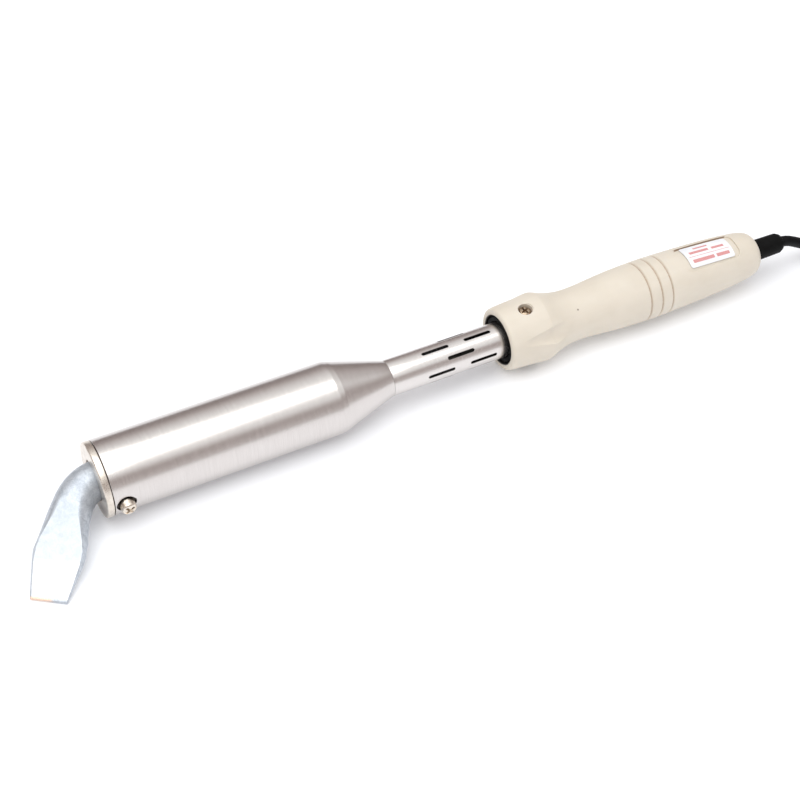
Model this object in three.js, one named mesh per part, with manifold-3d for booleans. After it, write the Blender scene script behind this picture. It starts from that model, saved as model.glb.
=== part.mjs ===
// 300 W class soldering iron with an externally heated copper bit: a stainless heater barrel that
// cones down to a vented neck, a one-piece moulded handle and a mains lead folded into a tied hank.
// Millimetres, +Z up, +X towards the cord. Inside the iron group the X axis is the barrel's own axis
// and x = 0 is the front face of the cap.
import * as THREE from 'three';
import { mergeVertices } from 'three/addons/utils/BufferGeometryUtils.js';
import Module from 'manifold-3d';

const wasm = await Module();
wasm.setup();

// ---------------------------------------------------------------- driving dimensions
const GAP = 0.3;                 // clearance left between pieces that touch
const BARREL_R = 18.18;          // outside of the barrel
const BARREL_T = 0.8;
const CAP_T = 3.45;              // visible edge of the front cap
const CONE_X0 = 119.5;           // barrel ends, cone begins
const CONE_X1 = 148.2;           // cone ends, neck begins
const NECK_R = 9.12;
const NECK_T = 0.9;
const NECK_X1 = 236;             // end of the neck inside the handle
const SLOT_L = 14.6;             // vent slot length over its round ends
const SLOT_W = 1.8;
const SLOT_PITCH = 40;           // degrees between rows of vent slots
const SLOT_ANGLE0 = 2;           // first row
const SLOT_A = [166.7, 190.0];   // starts of the slots in a two-slot row
const SLOT_B = [178.4];          // start of the slot in a one-slot row
const BIT_R = 9.05;
const BIT_TAIL = 100;            // depth of the bit inside the heater
const CLAMP_X = 9.1;             // station of the bit's two clamp screws
const CLAMP_ANGLES = [-9, 176];
const CLAMP_HOLE_R = 4.7;        // clearance hole in the barrel round each clamp screw's head
const HANDLE_X0 = 210.0;
const HANDLE_X1 = 364.4;
const HSCREW_X = 223.6;          // station of the handle screws
const HSCREW_ANGLES = [82, 188, 294];
const VALLEY_ANGLES = [22, 156, 241];
const LABEL_ANGLE = 78.5;        // middle of the label recess
const POCKET_HALF = 33.5, LABEL_HALF = 27.5;   // degrees to each side
const RELIEF_X1 = 383.4;         // end of the strain relief
const CORD_R = 2.85;
const FLOOR = -BARREL_R;         // the surface it lies on, below the axis
const SHIFT = [-169.357, 13.106, BARREL_R];   // puts the origin at the bottom centre of the iron

// hank of spare lead
const HANK_X1 = 452, HANK_X2 = 514, HANK_Y = -15;
const HANK_R = 26.3;             // outside of the outer turns
const HANK_Z0 = 1.5, HANK_Z1 = 19.3;   // above the floor
const STRAP_X = 483, STRAP_W = 12, STRAP_T = 0.9;
const PLUG_X0 = 580, PLUG_Y = 2.5;

// ---------------------------------------------------------------- helpers
const rad = Math.PI / 180;
// angle 0 faces -Y, 90 faces up
const radial = (a) => new THREE.Vector3(0, -Math.cos(a * rad), Math.sin(a * rad));

function tidy(geo) {
  const g = geo.clone();
  for (const k of Object.keys(g.attributes)) if (k !== 'position') g.deleteAttribute(k);
  g.clearGroups();
  const m = mergeVertices(g, 1e-4);
  const idx = [];
  const src = m.index.array;
  for (let i = 0; i < src.length; i += 3) {
    const [a, b, c] = [src[i], src[i + 1], src[i + 2]];
    if (a !== b && b !== c && a !== c) idx.push(a, b, c);
  }
  const p = m.attributes.position;
  let vol = 0;
  const va = new THREE.Vector3(), vb = new THREE.Vector3(), vc = new THREE.Vector3();
  for (let i = 0; i < idx.length; i += 3) {
    va.fromBufferAttribute(p, idx[i]); vb.fromBufferAttribute(p, idx[i + 1]); vc.fromBufferAttribute(p, idx[i + 2]);
    vol += va.dot(vb.cross(vc));
  }
  if (vol < 0) for (let i = 0; i < idx.length; i += 3) [idx[i + 1], idx[i + 2]] = [idx[i + 2], idx[i + 1]];
  const out = new THREE.BufferGeometry();
  out.setAttribute('position', new THREE.BufferAttribute(new Float32Array(p.array), 3));
  out.setIndex(idx);
  return out;
}
function solid(geo) {
  const g = tidy(geo);
  return new wasm.Manifold(new wasm.Mesh({ numProp: 3, vertProperties: new Float32Array(g.attributes.position.array), triVerts: new Uint32Array(g.index.array) }));
}
function geometry(man) {
  const m = man.getMesh();
  const g = new THREE.BufferGeometry();
  const n = m.vertProperties.length / m.numProp;
  const pos = new Float32Array(n * 3);
  for (let i = 0; i < n; i++) for (let k = 0; k < 3; k++) pos[3 * i + k] = m.vertProperties[i * m.numProp + k];
  g.setAttribute('position', new THREE.BufferAttribute(pos, 3));
  g.setIndex(Array.from(m.triVerts));
  return g;
}
// surface of revolution about X through [x, r] points
function turned(points, segs = 32) {
  const g = new THREE.LatheGeometry(points.map(([x, r]) => new THREE.Vector2(Math.max(r, 0), x)), segs);
  g.rotateZ(-Math.PI / 2);
  return tidy(g);
}
const closed = (pts) => [...pts, pts[0]];
const ringOf = (x0, x1, ri, ro, segs = 32) => turned(closed([[x0, ri], [x0, ro], [x1, ro], [x1, ri]]), segs);
const rodOf = (x0, x1, r, segs = 16) => turned([[x0, 0], [x0, r], [x1, r], [x1, 0]], segs);
// put a geometry made along +X onto a radial line at angle a and station x
function onRadius(geo, a, x) {
  const q = new THREE.Quaternion().setFromUnitVectors(new THREE.Vector3(1, 0, 0), radial(a));
  return geo.clone().applyQuaternion(q).translate(x, 0, 0);
}
function cut(geo, ...tools) {
  let m = solid(geo);
  for (const t of tools) m = m.subtract(solid(t));
  return geometry(m);
}
class Route extends THREE.Curve {
  constructor(points) { super(); this.c = new THREE.CatmullRomCurve3(points.map((p) => new THREE.Vector3(...p)), false, 'centripetal'); }
  getPoint(t, target) { return this.c.getPoint(t, target); }
  // the same number of steps between every two route points, so tight corners stay true
  getPointAt(u, target) { return this.c.getPoint(u, target); }
  getTangentAt(u, target) { return this.c.getTangent(u, target); }
}
function tubeOf(points, r, per, sides = 8) {
  const steps = (points.length - 1) * per;
  const s = new THREE.Shape();
  for (let i = 0; i <= sides; i++) {
    const a = (i / sides) * 2 * Math.PI;
    if (i === 0) s.moveTo(r, 0); else if (i < sides) s.lineTo(r * Math.cos(a), r * Math.sin(a));
  }
  s.closePath();
  return tidy(new THREE.ExtrudeGeometry(s, { steps, bevelEnabled: false, extrudePath: new Route(points), curveSegments: 1 }));
}

// ---------------------------------------------------------------- materials
const mat = (color, roughness, metalness) => new THREE.MeshStandardMaterial({ color, roughness, metalness });
const M = {
  stainless: mat(0xc9c4c0, 0.35, 1), nickel: mat(0xd8cfc4, 0.3, 1), bit: mat(0xbfc8d0, 0.55, 0.8),
  steel: mat(0x9a9a98, 0.4, 1), ceramic: mat(0xece6da, 0.7, 0), mica: mat(0xb9a984, 0.5, 0),
  fibre: mat(0xe3dfd2, 0.95, 0), wire: mat(0xa8a49c, 0.4, 1), cream: mat(0xe6dccb, 0.55, 0),
  black: mat(0x0c0c0e, 0.45, 0), rubber: mat(0x101012, 0.6, 0), label: mat(0xf0f2f6, 0.5, 0),
  brass: mat(0xc9a45a, 0.35, 1), live: mat(0x5b3a24, 0.5, 0), neutral: mat(0x2d5fa8, 0.5, 0),
  earth: mat(0x3f8f3a, 0.5, 0), tie: mat(0xdadad6, 0.5, 0),
};
const iron = new THREE.Group();
iron.position.set(...SHIFT);
function put(name, geo, material) {
  const mesh = new THREE.Mesh(geo, material);
  mesh.name = name;
  geo.computeVertexNormals();
  iron.add(mesh);
  return mesh;
}

// ---------------------------------------------------------------- copper bit
// A round bar that leaves the cap, bends about 55 degrees to one side and is forged to a chisel.
{
  const TIP = new THREE.Vector3(-37.8, -43.1, -17.33);       // middle of the working edge
  const d2 = new THREE.Vector3(-0.553, -0.768, -0.315).normalize();
  const e = new THREE.Vector3(0.779, -0.627, -0.01);
  e.addScaledVector(d2, -e.dot(d2)).normalize();
  const n = new THREE.Vector3().crossVectors(d2, e);
  if (n.z < 0) n.negate();
  const X = new THREE.Vector3(1, 0, 0), d1 = new THREE.Vector3(-1, 0, 0);
  const perp = d2.clone().addScaledVector(d1, -d2.dot(d1)).normalize();
  const bend = Math.acos(d1.dot(d2)), RB = 18;
  const lam = (TIP.y * d2.y + TIP.z * d2.z) / (d2.y ** 2 + d2.z ** 2);
  const vx = TIP.x - d2.x * lam, LT = RB * Math.tan(bend / 2);
  const st = [];
  for (const x of [BIT_TAIL, BIT_TAIL - 1, 50, 4]) st.push([new THREE.Vector3(x, 0, 0), d1.clone()]);
  const c = new THREE.Vector3(vx, 0, 0).addScaledVector(X, LT).addScaledVector(perp, RB);
  for (let i = 0; i <= 6; i++) {
    const a = (bend * i) / 6;
    st.push([c.clone().addScaledVector(perp, -RB * Math.cos(a)).addScaledVector(d1, RB * Math.sin(a)),
      d1.clone().multiplyScalar(Math.cos(a)).addScaledVector(perp, Math.sin(a))]);
  }
  const backs = [40, 34, 28, 23, 18, 12, 6, 0.6, 0];
  for (const b of backs) st.push([TIP.clone().addScaledVector(d2, -b), d2.clone()]);
  const along = [0];
  for (let i = 1; i < st.length; i++) along.push(along[i - 1] + st[i][0].distanceTo(st[i - 1][0]));
  const total = along[along.length - 1];
  const ease = (t) => { t = Math.min(Math.max(t, 0), 1); return t * t * (3 - 2 * t); };
  // the forged end by distance from the working edge: half widths of the flats and of the whole section, to each side
  const TA = [0, 6, 12, 18, 23, 28, 34, 40, 46, 54];
  const FR = [8.1, 8.93, 9.55, 10.2, 10.36, 9.05, 7.15, 4.98, 2.8, 2.6], FL = [7.6, 8.78, 9.77, 10.72, 10.75, 9.66, 7.63, 5.58, 3.9, 2.6];
  const SR = [8.6, 9.45, 10.26, 11.22, 11.2, 10.9, 9.6, 8.9, 8.85, 9.05], SL = [8.5, 9.8, 11.0, 12.2, 13.05, 12.4, 11.65, 10.9, 9.9, 9.05];
  const at = (T, a) => {
    if (a >= TA[TA.length - 1]) return T[TA.length - 1];
    const i = Math.max(TA.findIndex((v) => v > a) - 1, 0);
    return T[i] + ((T[i + 1] - T[i]) * (a - TA[i])) / (TA[i + 1] - TA[i]);
  };
  const NQ = 4, NF = 4, NU = 4 * NQ + 2 * NF, NS = st.length - 1;
  const contour = (a, j) => {
    const h = a < 18 ? 0.8 + (a * 1.6) / 18 : Math.min(2.4 + ((a - 18) * 6.65) / 34, BIT_R);
    const m = 1 + Math.min(Math.max((a - 25) / 27, 0), 1), B = ease((a - 43) / 11);
    const up = j < 2 * NQ + NF ? 1 : -1, k = up > 0 ? j : NU - j;        // lower half mirrors the upper
    let x, y, ang;
    if (k <= NQ || k >= NQ + NF) {
      const right = k <= NQ, t = right ? k / NQ : (2 * NQ + NF - k) / NQ;
      const s = t * (2 - m) + Math.sin((t * Math.PI) / 2) * (m - 1);
      const F = at(right ? FR : FL, a), S = at(right ? SR : SL, a);
      x = (F + (S - F) * Math.max(0, 1 - s ** m) ** (1 / m)) * (right ? 1 : -1);
      y = h * s;
      ang = right ? t * 60 : 180 - t * 60;
    } else {
      const f = (k - NQ) / NF;
      x = at(FR, a) * (1 - f) - at(FL, a) * f;
      y = h;
      ang = 60 + 60 * f;
    }
    return [x * (1 - B) + BIT_R * Math.cos(ang * rad) * B, up * (y * (1 - B) + BIT_R * Math.sin(ang * rad) * B)];
  };
  const g = new THREE.CylinderGeometry(1, 1, 1, NU, NS);
  const p = g.attributes.position;
  for (let i = 0; i < p.count; i++) {
    const row = Math.round((0.5 - p.getY(i)) * NS), ph = Math.atan2(p.getZ(i), p.getX(i));
    const q = Math.hypot(p.getX(i), p.getZ(i)) * (row === 0 ? 0.9 : 1), j = (Math.round((ph / (2 * Math.PI)) * NU) + NU) % NU;
    const [P, D] = st[row], [x, y] = contour(total - along[row], j);
    const nn = n.clone().addScaledVector(D, -n.dot(D)).normalize();
    const w = new THREE.Vector3().crossVectors(nn, D).normalize();
    if (w.dot(e) < 0) w.negate();
    const v = P.clone().addScaledVector(w, q * x).addScaledVector(nn, q * y);
    p.setXYZ(i, v.x, v.y, v.z);
  }
  put('bit', tidy(g), M.bit);
}

// ---------------------------------------------------------------- front cap and its clamp screws
const clampHoles = (r, x0, x1, segs = 12) => CLAMP_ANGLES.map((a) => onRadius(rodOf(x0, x1, r, segs), a, CLAMP_X));
{
  const cap = turned(closed([[3.2, 9.4], [0, 10.0], [0, 17.6], [0.45, BARREL_R], [CAP_T, BARREL_R], [CAP_T, 17.0], [15.5, 17.0], [15.5, 9.4]]), 40);
  put('front_cap', cut(cap, ...clampHoles(2.35, 5, 25)), M.nickel);
}
function screwGeo(tip, seat, shank, head, rise, cross) {
  // made along +X: tip, shank to the seat, then a domed head with a cross recess
  const g = turned([[tip, 0], [tip, shank], [seat, shank], [seat, head], [seat + rise - head * 0.4, head], [seat + rise - head * 0.12, head * 0.72], [seat + rise, head * 0.35], [seat + rise, 0]], 14);
  const a = new THREE.BoxGeometry(cross * 1.6, cross * 2, cross * 0.42).translate(seat + rise, 0, 0);
  const b = new THREE.BoxGeometry(cross * 1.6, cross * 0.42, cross * 2).translate(seat + rise, 0, 0);
  return cut(g, a, b);
}
['lower', 'upper'].forEach((w, i) => {
  const m = put('bit_clamp_screw_' + w, screwGeo(9.4, 17.3, 2.0, 3.55, 4.6, 1.6), M.nickel);
  m.quaternion.setFromUnitVectors(new THREE.Vector3(1, 0, 0), radial(CLAMP_ANGLES[i]));
  m.position.set(CLAMP_X, 0, 0);
});

// ---------------------------------------------------------------- barrel, neck
{
  const x0 = CAP_T + GAP, T = BARREL_T;
  const shell = turned(closed([[x0, BARREL_R], [CONE_X0 - 1.5, BARREL_R], [CONE_X0 + 1, BARREL_R - 0.45], [CONE_X1, NECK_R], [CONE_X1, NECK_R - T], [CONE_X0 + 1, BARREL_R - 0.45 - T], [CONE_X0 - 1.5, BARREL_R - T], [x0, BARREL_R - T]]), 40);
  put('barrel_shell', cut(shell, ...clampHoles(CLAMP_HOLE_R, 15, 25, 20)), M.stainless);

  const neck = ringOf(CONE_X1 + GAP, NECK_X1, NECK_R - NECK_T, NECK_R, 36);
  const slots = [];
  for (let row = 0; row < 9; row++) {
    for (const s of row % 2 ? SLOT_B : SLOT_A) {
      const sh = new THREE.Shape();
      const h = SLOT_L / 2 - SLOT_W / 2, r = SLOT_W / 2;
      sh.moveTo(-h, -r); sh.lineTo(h, -r); sh.lineTo(h + r * 0.8, 0); sh.lineTo(h, r); sh.lineTo(-h, r); sh.lineTo(-h - r * 0.8, 0); sh.closePath();
      const bar = new THREE.ExtrudeGeometry(sh, { depth: 6, bevelEnabled: false });   // X by Y, rising in Z
      bar.translate(s + SLOT_L / 2, 0, 5.5);
      bar.rotateX((90 - (SLOT_ANGLE0 + row * SLOT_PITCH)) * rad);
      slots.push(bar);
    }
  }
  put('neck_tube', cut(neck, ...slots), M.stainless);
}

// ---------------------------------------------------------------- heater inside the barrel
put('core_tube', ringOf(15.8, 116, 9.4, 10.1, 24), M.steel);
put('front_ceramic_ring', ringOf(15.8, 20.5, 10.4, 17.0, 24), M.ceramic);
put('mica_inner', ringOf(20.8, 108, 10.4, 11.0, 24), M.mica);
{
  const turns = 9.5, pts = [], x0 = 24.5, x1 = 103.5, r = 12.0;
  for (let i = 0; i <= turns * 12; i++) {
    const a = (i / 12) * 2 * Math.PI;
    pts.push([x0 + ((x1 - x0) * i) / (turns * 12), -r * Math.cos(a), r * Math.sin(a)]);
  }
  put('heating_winding', tubeOf(pts, 0.5, 1, 4), M.wire);
}
put('mica_outer', ringOf(26, 101.5, 12.8, 13.4, 24), M.mica);
put('fibre_insulation', ringOf(20.8, 108, 15.6, 17.0, 24), M.fibre);
{
  const disc = ringOf(108.3, 113.8, 10.4, 17.0, 24);
  const holes = [0, 180].map((a) => { const q = rodOf(100, 120, 1.0, 8); const d = radial(a).multiplyScalar(14.4); return q.translate(d.x, d.y, d.z); });
  put('rear_ceramic_disc', cut(disc, ...holes), M.ceramic);
}
// leads from the winding to the terminal block, with ceramic beads through the neck
put('lead_live', tubeOf([[23.0, -11.9, 0], [22.5, -13.4, 0], [24.0, -14.35, 0], [27, -14.4, 0], [70, -14.4, 0], [114, -14.4, 0], [120, -12.6, 0], [135, -8.2, 0], [147, -4.2, 0], [153, -3.4, 0], [190, -3.4, 0], [234, -3.4, 0], [240, -4.4, 0], [246, -5.2, 0], [250, -5.2, 0]], 0.6, 2, 6), M.wire);
put('lead_neutral', tubeOf([[104.7, 11.9, 0], [105.2, 13.6, 0], [107.0, 14.4, 0], [114, 14.4, 0], [120, 12.6, 0], [135, 8.2, 0], [147, 4.2, 0], [153, 3.4, 0], [190, 3.4, 0], [234, 3.4, 0], [240, 4.4, 0], [246, 5.2, 0], [250, 5.2, 0]], 0.6, 2, 6), M.wire);
[['live', -3.4], ['neutral', 3.4]].forEach(([w, y]) => {
  const pts = [[154, 1.1]];
  for (let i = 0; i < 7; i++) pts.push([154 + i * 11.2, 1.8], [154 + i * 11.2 + 1.4, 2.5], [154 + i * 11.2 + 9.6, 2.5]);
  pts.push([154 + 7 * 11.2, 1.8], [154 + 7 * 11.2, 1.1]);
  put('ceramic_beads_' + w, turned(closed(pts), 8).translate(0, y, 0), M.ceramic);
});

// ---------------------------------------------------------------- neck bush, handle and its screws
{
  const bush = turned(closed([[211.0, 9.9], [211.0, 11.6], [211.6, 12.3], [231, 12.3], [231, 9.42], [211.5, 9.42]]), 32);
  put('neck_bush', cut(bush, ...HSCREW_ANGLES.map((a) => onRadius(rodOf(5, 20, 1.75, 10), a, HSCREW_X))), M.black);
}
const handleR = [[HANDLE_X0, 14.3], [210.35, 15.3], [211.3, 16.05], [216.6, 16.6], [225, 16.95], [232.1, 17.4], [233.6, 17.25], [238.8, 15.9], [244.5, 14.2], [248.8, 13.6], [253, 13.45], [259, 13.65], [264.6, 14.1], [273.6, 14.85], [281, 15.3], [291.6, 15.6], [298.3, 15.7], [304.7, 15.6], [313, 15.4], [325.8, 14.95], [339, 14.3], [346, 13.8], [352, 13.2], [357, 12.6], [361, 11.6], [363.4, 10.0], [HANDLE_X1, 7.5]];
const outerAt = (x) => {
  for (let i = 1; i < handleR.length; i++) if (x <= handleR[i][0]) { const [a, b] = [handleR[i - 1], handleR[i]]; return a[1] + ((b[1] - a[1]) * (x - a[0])) / (b[0] - a[0]); }
  return handleR[handleR.length - 1][1];
};
{
  const inner = [[HANDLE_X1, 5.9], [347, 5.9], [347, 9.8], [262, 10.5], [231.5, 10.5], [231.5, 12.62], [210.6, 12.62], [210.1, 13.3]];
  const g = turned(closed([...handleR, ...inner]), 40);
  // three shallow valleys between the screws, growing towards the rear edge of the collar
  const p = g.attributes.position;
  for (let i = 0; i < p.count; i++) {
    const x = p.getX(i), y = p.getY(i), z = p.getZ(i), r = Math.hypot(y, z);
    if (x < 217 || x > 243 || r < 13) continue;
    const a = Math.atan2(z, -y) / rad;
    let dip = 0;
    for (const v of VALLEY_ANGLES) {
      const da = Math.abs(((a - v + 540) % 360) - 180), half = 4 + 12 * Math.min((x - 216.4) / 18, 1);
      if (da < half) dip = Math.max(dip, 1.1 * Math.min((x - 216.4) / 16, 1) * (1 - da / half));
    }
    if (x > 234) dip *= Math.max(0, (243 - x) / 9);
    const k = (r - dip) / r;
    p.setXYZ(i, x, y * k, z * k);
  }
  // recess for the label, following the taper
  const sector = new THREE.Shape();
  const a0 = (LABEL_ANGLE - POCKET_HALF) * rad, a1 = (LABEL_ANGLE + POCKET_HALF) * rad, N = 8;
  for (let i = 0; i <= N; i++) { const a = a0 + ((a1 - a0) * i) / N; (i ? sector.lineTo : sector.moveTo).call(sector, -Math.cos(a), Math.sin(a)); }
  for (let i = N; i >= 0; i--) { const a = a0 + ((a1 - a0) * i) / N; sector.lineTo(-1.35 * Math.cos(a), 1.35 * Math.sin(a)); }
  sector.closePath();
  const pocket = new THREE.ExtrudeGeometry(sector, { depth: 34.5, bevelEnabled: false });   // sector in XY, depth along Z
  pocket.applyMatrix4(new THREE.Matrix4().set(0, 0, 1, 315.5, 1, 0, 0, 0, 0, 1, 0, 0, 0, 0, 0, 1));
  const q = pocket.attributes.position;
  for (let i = 0; i < q.count; i++) { const f = outerAt(q.getX(i)) - 0.75; q.setXYZ(i, q.getX(i), q.getY(i) * f, q.getZ(i) * f); }
  const tools = [pocket];
  for (const a of HSCREW_ANGLES) tools.push(onRadius(rodOf(14.0, 20, 3.6, 12), a, HSCREW_X), onRadius(rodOf(8, 20, 1.75, 10), a, HSCREW_X));
  put('handle', cut(g, ...tools), M.cream);
}
['top', 'far', 'near'].forEach((w, i) => {
  const m = put('handle_screw_' + w, screwGeo(9.45, 14.3, 1.45, 3.0, 1.5, 1.3), M.nickel);
  m.quaternion.setFromUnitVectors(new THREE.Vector3(1, 0, 0), radial(HSCREW_ANGLES[i]));
  m.position.set(HSCREW_X, 0, 0);
});
// label: a thin curved plate lying in the recess
{
  const s = new THREE.Shape(), a0 = (LABEL_ANGLE - LABEL_HALF) * rad, a1 = (LABEL_ANGLE + LABEL_HALF) * rad, N = 8;
  for (let i = 0; i <= N; i++) { const a = a0 + ((a1 - a0) * i) / N; (i ? s.lineTo : s.moveTo).call(s, -Math.cos(a), Math.sin(a)); }
  for (let i = N; i >= 0; i--) { const a = a0 + ((a1 - a0) * i) / N; s.lineTo(-1.018 * Math.cos(a), 1.018 * Math.sin(a)); }
  s.closePath();
  const g = new THREE.ExtrudeGeometry(s, { depth: 27.5, bevelEnabled: false });
  g.applyMatrix4(new THREE.Matrix4().set(0, 0, 1, 319, 1, 0, 0, 0, 0, 1, 0, 0, 0, 0, 0, 1));
  const q = g.attributes.position;
  for (let i = 0; i < q.count; i++) { const f = outerAt(q.getX(i)) - 0.75 + 0.3; q.setXYZ(i, q.getX(i), q.getY(i) * f, q.getZ(i) * f); }
  put('rating_label', tidy(g), M.label);
}

// ---------------------------------------------------------------- wiring inside the handle
{
  const block = new THREE.BoxGeometry(18, 17, 8).translate(255, 0, 0);
  const tools = [];
  for (const y of [-5.2, 0, 5.2]) {
    tools.push(rodOf(240, 270, 1.5, 8).translate(0, y, 0));
    tools.push(rodOf(0, 10, 1.7, 8).rotateY(-Math.PI / 2).translate(250, y, 0));
  }
  put('terminal_block', cut(block, ...tools), M.ceramic);
  [['live', -5.2], ['earth', 0], ['neutral', 5.2]].forEach(([w, y]) => {
    put('terminal_screw_' + w, turned([[1.0, 0], [1.0, 1.35], [4.6, 1.35], [4.6, 0]], 10).rotateY(-Math.PI / 2).translate(250, y, 0), M.brass);
  });
}
put('earth_wire', tubeOf([[228, 0, -7.1], [233, 0, -6.6], [238, 0, -4], [243, 0, -0.8], [247, 0, 0], [250, 0, 0]], 0.8, 2, 6), M.earth);
[['live', -5.2, -1.15, -0.66], ['neutral', 5.2, 1.15, -0.66], ['earth', 0, 0, 1.3]].forEach(([w, y, y1, z1]) => {
  put('cord_core_' + w, tubeOf([[252.5, y, 0], [258, y, 0], [266, y, 0], [278, y * 0.6 + y1 * 0.4, z1 * 0.5], [288, y1, z1], [292, y1, z1]], 0.8, 2, 6), M[w]);
});
put('cord_inside', tubeOf([[292.3, 0, 0], [300, 0, 0], [340, 0, 0], [RELIEF_X1 - 0.1, 0, 0]], CORD_R, 3, 12), M.rubber);
{
  const band = ringOf(338.5, 342.5, CORD_R + GAP, 4.3, 16);
  const lock = new THREE.BoxGeometry(5, 4.4, 3.2).translate(340.5, 0, 5.0);
  put('cord_stop_tie', geometry(solid(band).add(solid(lock).subtract(solid(rodOf(330, 350, CORD_R + GAP, 16))))), M.tie);
}
put('strain_relief', turned(closed([[343.8, CORD_R + GAP], [343.8, 8.4], [346.7, 8.4], [346.7, 5.6], [368.5, 5.6], [381.3, 5.4], [382.9, 4.6], [RELIEF_X1, 3.9], [RELIEF_X1, CORD_R + GAP]]), 20), M.rubber);

// ---------------------------------------------------------------- mains lead outside the handle
const lay = FLOOR + CORD_R + 0.05;
put('cord', tubeOf([[RELIEF_X1 + 0.3, 0, 0], [386.5, 0, -0.25], [390, 0, -1.5], [394, 0, -3.6], [398.4, 0, -6.0], [404, 0.1, -9.1], [409, 0.2, -11.8], [414, 0.3, -13.8], [419, 0.6, -15.0], [425.2, 1.0, lay]], CORD_R, 2, 10), M.rubber);
{
  const s = new THREE.Shape(), N = 12;
  const arc = (cx, a0, a1) => { for (let i = 0; i <= N; i++) { const a = a0 + ((a1 - a0) * i) / N; s[i === 0 && cx === HANK_X2 ? 'moveTo' : 'lineTo'](cx + HANK_R * Math.cos(a), HANK_Y + HANK_R * Math.sin(a)); } };
  arc(HANK_X2, -Math.PI / 2, Math.PI / 2);
  arc(HANK_X1, Math.PI / 2, (3 * Math.PI) / 2);
  s.closePath();
  const g = new THREE.ExtrudeGeometry(s, { depth: HANK_Z1 - HANK_Z0, bevelEnabled: false }).translate(0, 0, FLOOR + HANK_Z0);
  put('cord_hank', tidy(g), M.rubber);
  // strap round the hank
  const w = HANK_R + GAP, band = (d) => { const b = new THREE.Shape(); b.moveTo(-w - d, HANK_Z0 - GAP - d); b.lineTo(w + d, HANK_Z0 - GAP - d); b.lineTo(w + d, HANK_Z1 + GAP + d); b.lineTo(-w - d, HANK_Z1 + GAP + d); b.closePath(); return b; };
  const mk = (d, len) => new THREE.ExtrudeGeometry(band(d), { depth: len, bevelEnabled: false })
    .applyMatrix4(new THREE.Matrix4().set(0, 0, 1, STRAP_X - len / 2, 1, 0, 0, HANK_Y, 0, 1, 0, FLOOR, 0, 0, 0, 1));
  put('hank_strap', cut(mk(STRAP_T, STRAP_W), mk(0, STRAP_W + 4)), M.black);
}
put('cord_tail', tubeOf([[HANK_X2 + HANK_R + 0.3, 2.5, FLOOR + 12.6], [545, 2.5, FLOOR + 10.8], [552, 2.5, FLOOR + 7.4], [559, 2.5, FLOOR + 4.4], [566, 2.5, lay + 0.2], [573, 2.5, lay], [PLUG_X0 - 0.3, 2.5, lay]], CORD_R, 2, 10), M.rubber);

// ---------------------------------------------------------------- moulded three-pin plug
{
  const cy = PLUG_Y, cz = FLOOR + 11.0, z0 = lay - FLOOR;
  // tapered relief and grip, made as a stack of rounded sections along X
  const secs = [[0, 3.6, 3.4, z0 + 0.6], [1.5, 4.3, 3.6, z0 + 0.9], [14, 5.2, 5.0, 7.2], [15, 9, 7.6, 8.9], [21, 12.2, 10.6, 10.8], [40, 12.6, 10.9, 11.0], [42, 12.9, 10.9, 11.0], [45.5, 12.9, 10.9, 11.0], [46, 12.4, 10.4, 11.0]];
  const NU = 20, NS = secs.length - 1;
  const g = new THREE.CylinderGeometry(1, 1, 1, NU, NS);
  const p = g.attributes.position;
  for (let i = 0; i < p.count; i++) {
    const row = Math.round((0.5 - p.getY(i)) * NS), q = Math.hypot(p.getX(i), p.getZ(i)), ph = Math.atan2(p.getZ(i), p.getX(i));
    const [x, a, b, z] = secs[row], k = row > 2 ? 4 : 2;
    const r = (Math.abs(Math.cos(ph) / a) ** k + Math.abs(Math.sin(ph) / b) ** k) ** (-1 / k);
    p.setXYZ(i, PLUG_X0 + x, cy + q * r * Math.cos(ph), FLOOR + z + q * r * Math.sin(ph));
  }
  put('plug_body', tidy(g), M.rubber);
  const X1 = PLUG_X0 + 46 + GAP;
  const blade = (y) => {
    const s = new THREE.Shape();
    s.moveTo(0, -3.15); s.lineTo(15.6, -3.15); s.lineTo(17.4, -1.6); s.lineTo(17.4, 1.6); s.lineTo(15.6, 3.15); s.lineTo(0, 3.15); s.closePath();
    const h = new THREE.ExtrudeGeometry(s, { depth: 1.5, bevelEnabled: false }).rotateX(Math.PI / 2).translate(X1, y + 0.75, cz + 3.2);
    // the extrusion now lies flat in XZ: thickness along Y
    return cut(h, rodOf(-5, 5, 1.5, 10).rotateZ(Math.PI / 2).translate(X1 + 13.2, y, cz + 3.2));
  };
  put('plug_blade_live', blade(cy - 6.35), M.brass);
  put('plug_blade_neutral', blade(cy + 6.35), M.brass);
  put('plug_ground_pin', turned([[X1, 0], [X1, 2.4], [X1 + 17, 2.4], [X1 + 19.4, 1.2], [X1 + 19.4, 0]], 12).translate(0, cy, cz - 6.4), M.brass);
}

export default iron;
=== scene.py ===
import math

import bmesh
import bpy
import numpy as np
from mathutils import Matrix, Quaternion, Vector, noise


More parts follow.
